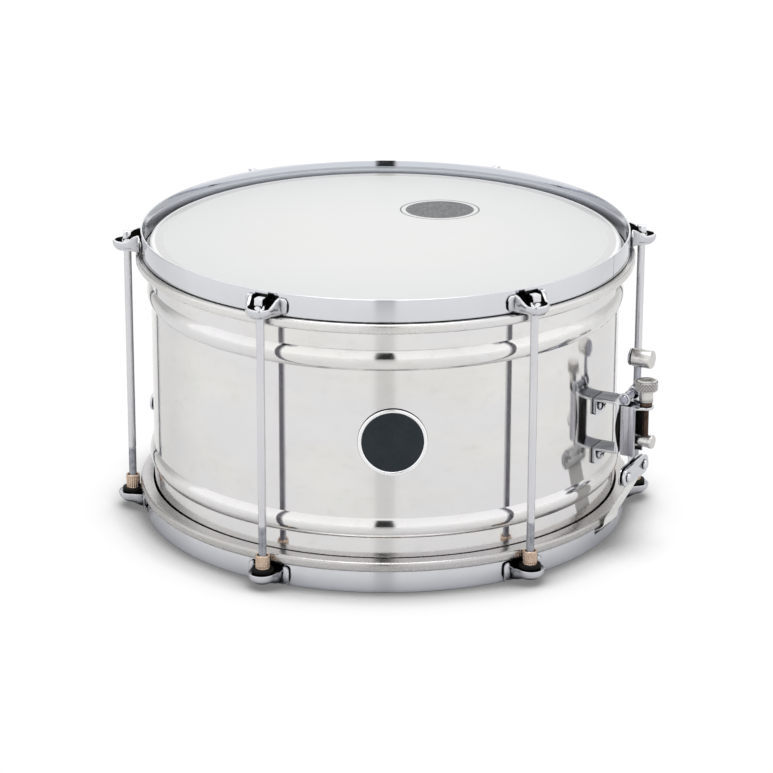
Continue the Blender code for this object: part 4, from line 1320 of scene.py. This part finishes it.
# ================================================================ camera
cam_data = bpy.data.cameras.new("camera")
cam_data.sensor_width = 36.0
cam_data.lens = 3239.02 / 773 * 36.0
cam_data.clip_start, cam_data.clip_end = 0.05, 100
cam = bpy.data.objects.new("camera", cam_data)
bpy.context.scene.collection.objects.link(cam)
el, pitch, yaw, roll = (math.radians(v) for v in (16.5622, 19.4178, 0.0275, 0.1965))
D = 2.0881
turn = Matrix.Rotation(math.radians(-3.0), 3, "Z")
pos = Vector((0, -D * math.cos(el), 0.190 + D * math.sin(el)))
fwd = Vector((math.sin(yaw) * math.cos(pitch), math.cos(yaw) * math.cos(pitch),
              -math.sin(pitch)))
right = Vector((math.cos(yaw), -math.sin(yaw), 0))
up = right.cross(fwd)
r2 = right * math.cos(roll) + up * math.sin(roll)
u2 = -right * math.sin(roll) + up * math.cos(roll)
pos, fwd, r2, u2 = (turn @ v for v in (pos, fwd, r2, u2))
mat = Matrix((r2, u2, -fwd)).transposed().to_4x4()
mat.translation = pos
cam.matrix_world = mat
bpy.context.scene.camera = cam

# ================================================================ studio
scene = bpy.context.scene
scene.view_settings.view_transform = "Standard"
scene.view_settings.look = "None"
scene.view_settings.exposure = 0.0
scene.view_settings.gamma = 1.0

world = bpy.data.worlds.new("studio")
scene.world = world
world.use_nodes = True
nt = world.node_tree
bg = nt.nodes["Background"]
tc = N(nt, "ShaderNodeTexCoord")
sep = N(nt, "ShaderNodeSeparateXYZ")
nt.links.new(tc.outputs["Generated"], sep.inputs[0])
az = math_node(nt, "ARCTAN2", sep.outputs[0],
               math_node(nt, "MULTIPLY", sep.outputs[1], -1.0))
az = math_node(nt, "ADD", az, math.radians(3.0))
az = math_node(nt, "WRAP", az, math.pi, -math.pi)
azabs = math_node(nt, "ABSOLUTE", az)
elev = math_node(nt, "ARCSINE", sep.outputs[2])
# two tall panels in front with a narrow dark gap between them, a bright panel
# overhead, and dark flags in the back corners
gap = ramp(nt, azabs, math.radians(3.9), math.radians(5.4), 1.0, 0.0)
gap = math_node(nt, "MULTIPLY", gap, ramp(nt, elev, math.radians(46), math.radians(52), 1.0, 0.0))
level = math_node(nt, "ADD", ramp(nt, elev, math.radians(15), math.radians(60), 1.16, 1.06),
                  ramp(nt, elev, math.radians(66), math.radians(72), 0.0, 2.6))
flag = math_node(nt, "ADD",
                 ramp(nt, azabs, math.radians(104), math.radians(107), 0.0, 0.2),
                 ramp(nt, azabs, math.radians(110), math.radians(128), 0.0, 0.35))
flag = math_node(nt, "MULTIPLY", flag, ramp(nt, azabs, math.radians(150), math.radians(166),
                                            1.0, 0.0))
flag = math_node(nt, "MULTIPLY", flag, ramp(nt, elev, math.radians(38), math.radians(50),
                                            1.0, 0.0))
flag = math_node(nt, "MULTIPLY", flag, ramp(nt, az, 0.0, 0.1, 1.0, 0.72))
dim = math_node(nt, "ADD", math_node(nt, "MULTIPLY", gap, 0.97), flag)
col = math_node(nt, "MULTIPLY", level, math_node(nt, "SUBTRACT", 1.0, dim))
comb = N(nt, "ShaderNodeCombineXYZ")
for i in range(3):
    nt.links.new(col, comb.inputs[i])
nt.links.new(comb.outputs[0], bg.inputs["Color"])
bg.inputs["Strength"].default_value = 1.0

bm = bmesh.new()
bmesh.ops.create_grid(bm, x_segments=1, y_segments=1, size=12.0)
floor_me = bpy.data.meshes.new("floor")
bm.to_mesh(floor_me)
bm.free()
fm, fnt, fb = nodes_of("floor white")
fb.inputs["Roughness"].default_value = 0.17
fb.inputs["IOR"].default_value = 1.5
# painted contact shadow: ambient occlusion darkens the floor near the drum; camera rays see the
# floor as a glow carrying this painted shadow, and other rays see it in the base colour
ao = N(fnt, "ShaderNodeAmbientOcclusion", samples=8)
ao.inputs["Distance"].default_value = 0.046
near = math_node(fnt, "POWER", ramp(fnt, ao.outputs["AO"], 0.46, 0.92), 0.9)
contact = ramp(fnt, near, 0.0, 1.0, 0.2, 1.0)
shade = N(fnt, "ShaderNodeCombineXYZ")
for i in range(3):
    fnt.links.new(contact, shade.inputs[i])
fnt.links.new(mix(fnt, ramp(fnt, near, 0.0, 1.0), (0.46, 0.46, 0.48), (0.68, 0.68, 0.68)),
              fb.inputs["Base Color"])
glow = N(fnt, "ShaderNodeEmission")
fnt.links.new(shade.outputs[0], glow.inputs["Color"])
glow.inputs["Strength"].default_value = 1.02
lp = N(fnt, "ShaderNodeLightPath")
both = N(fnt, "ShaderNodeMixShader")
fnt.links.new(lp.outputs["Is Camera Ray"], both.inputs[0])
fnt.links.new(fb.outputs[0], both.inputs[1])
fnt.links.new(glow.outputs[0], both.inputs[2])
fnt.links.new(both.outputs[0], fnt.nodes["Material Output"].inputs["Surface"])
floor_me.materials.append(fm)
floor = bpy.data.objects.new("floor", floor_me)
floor.location.z = -0.0002
scene.collection.objects.link(floor)
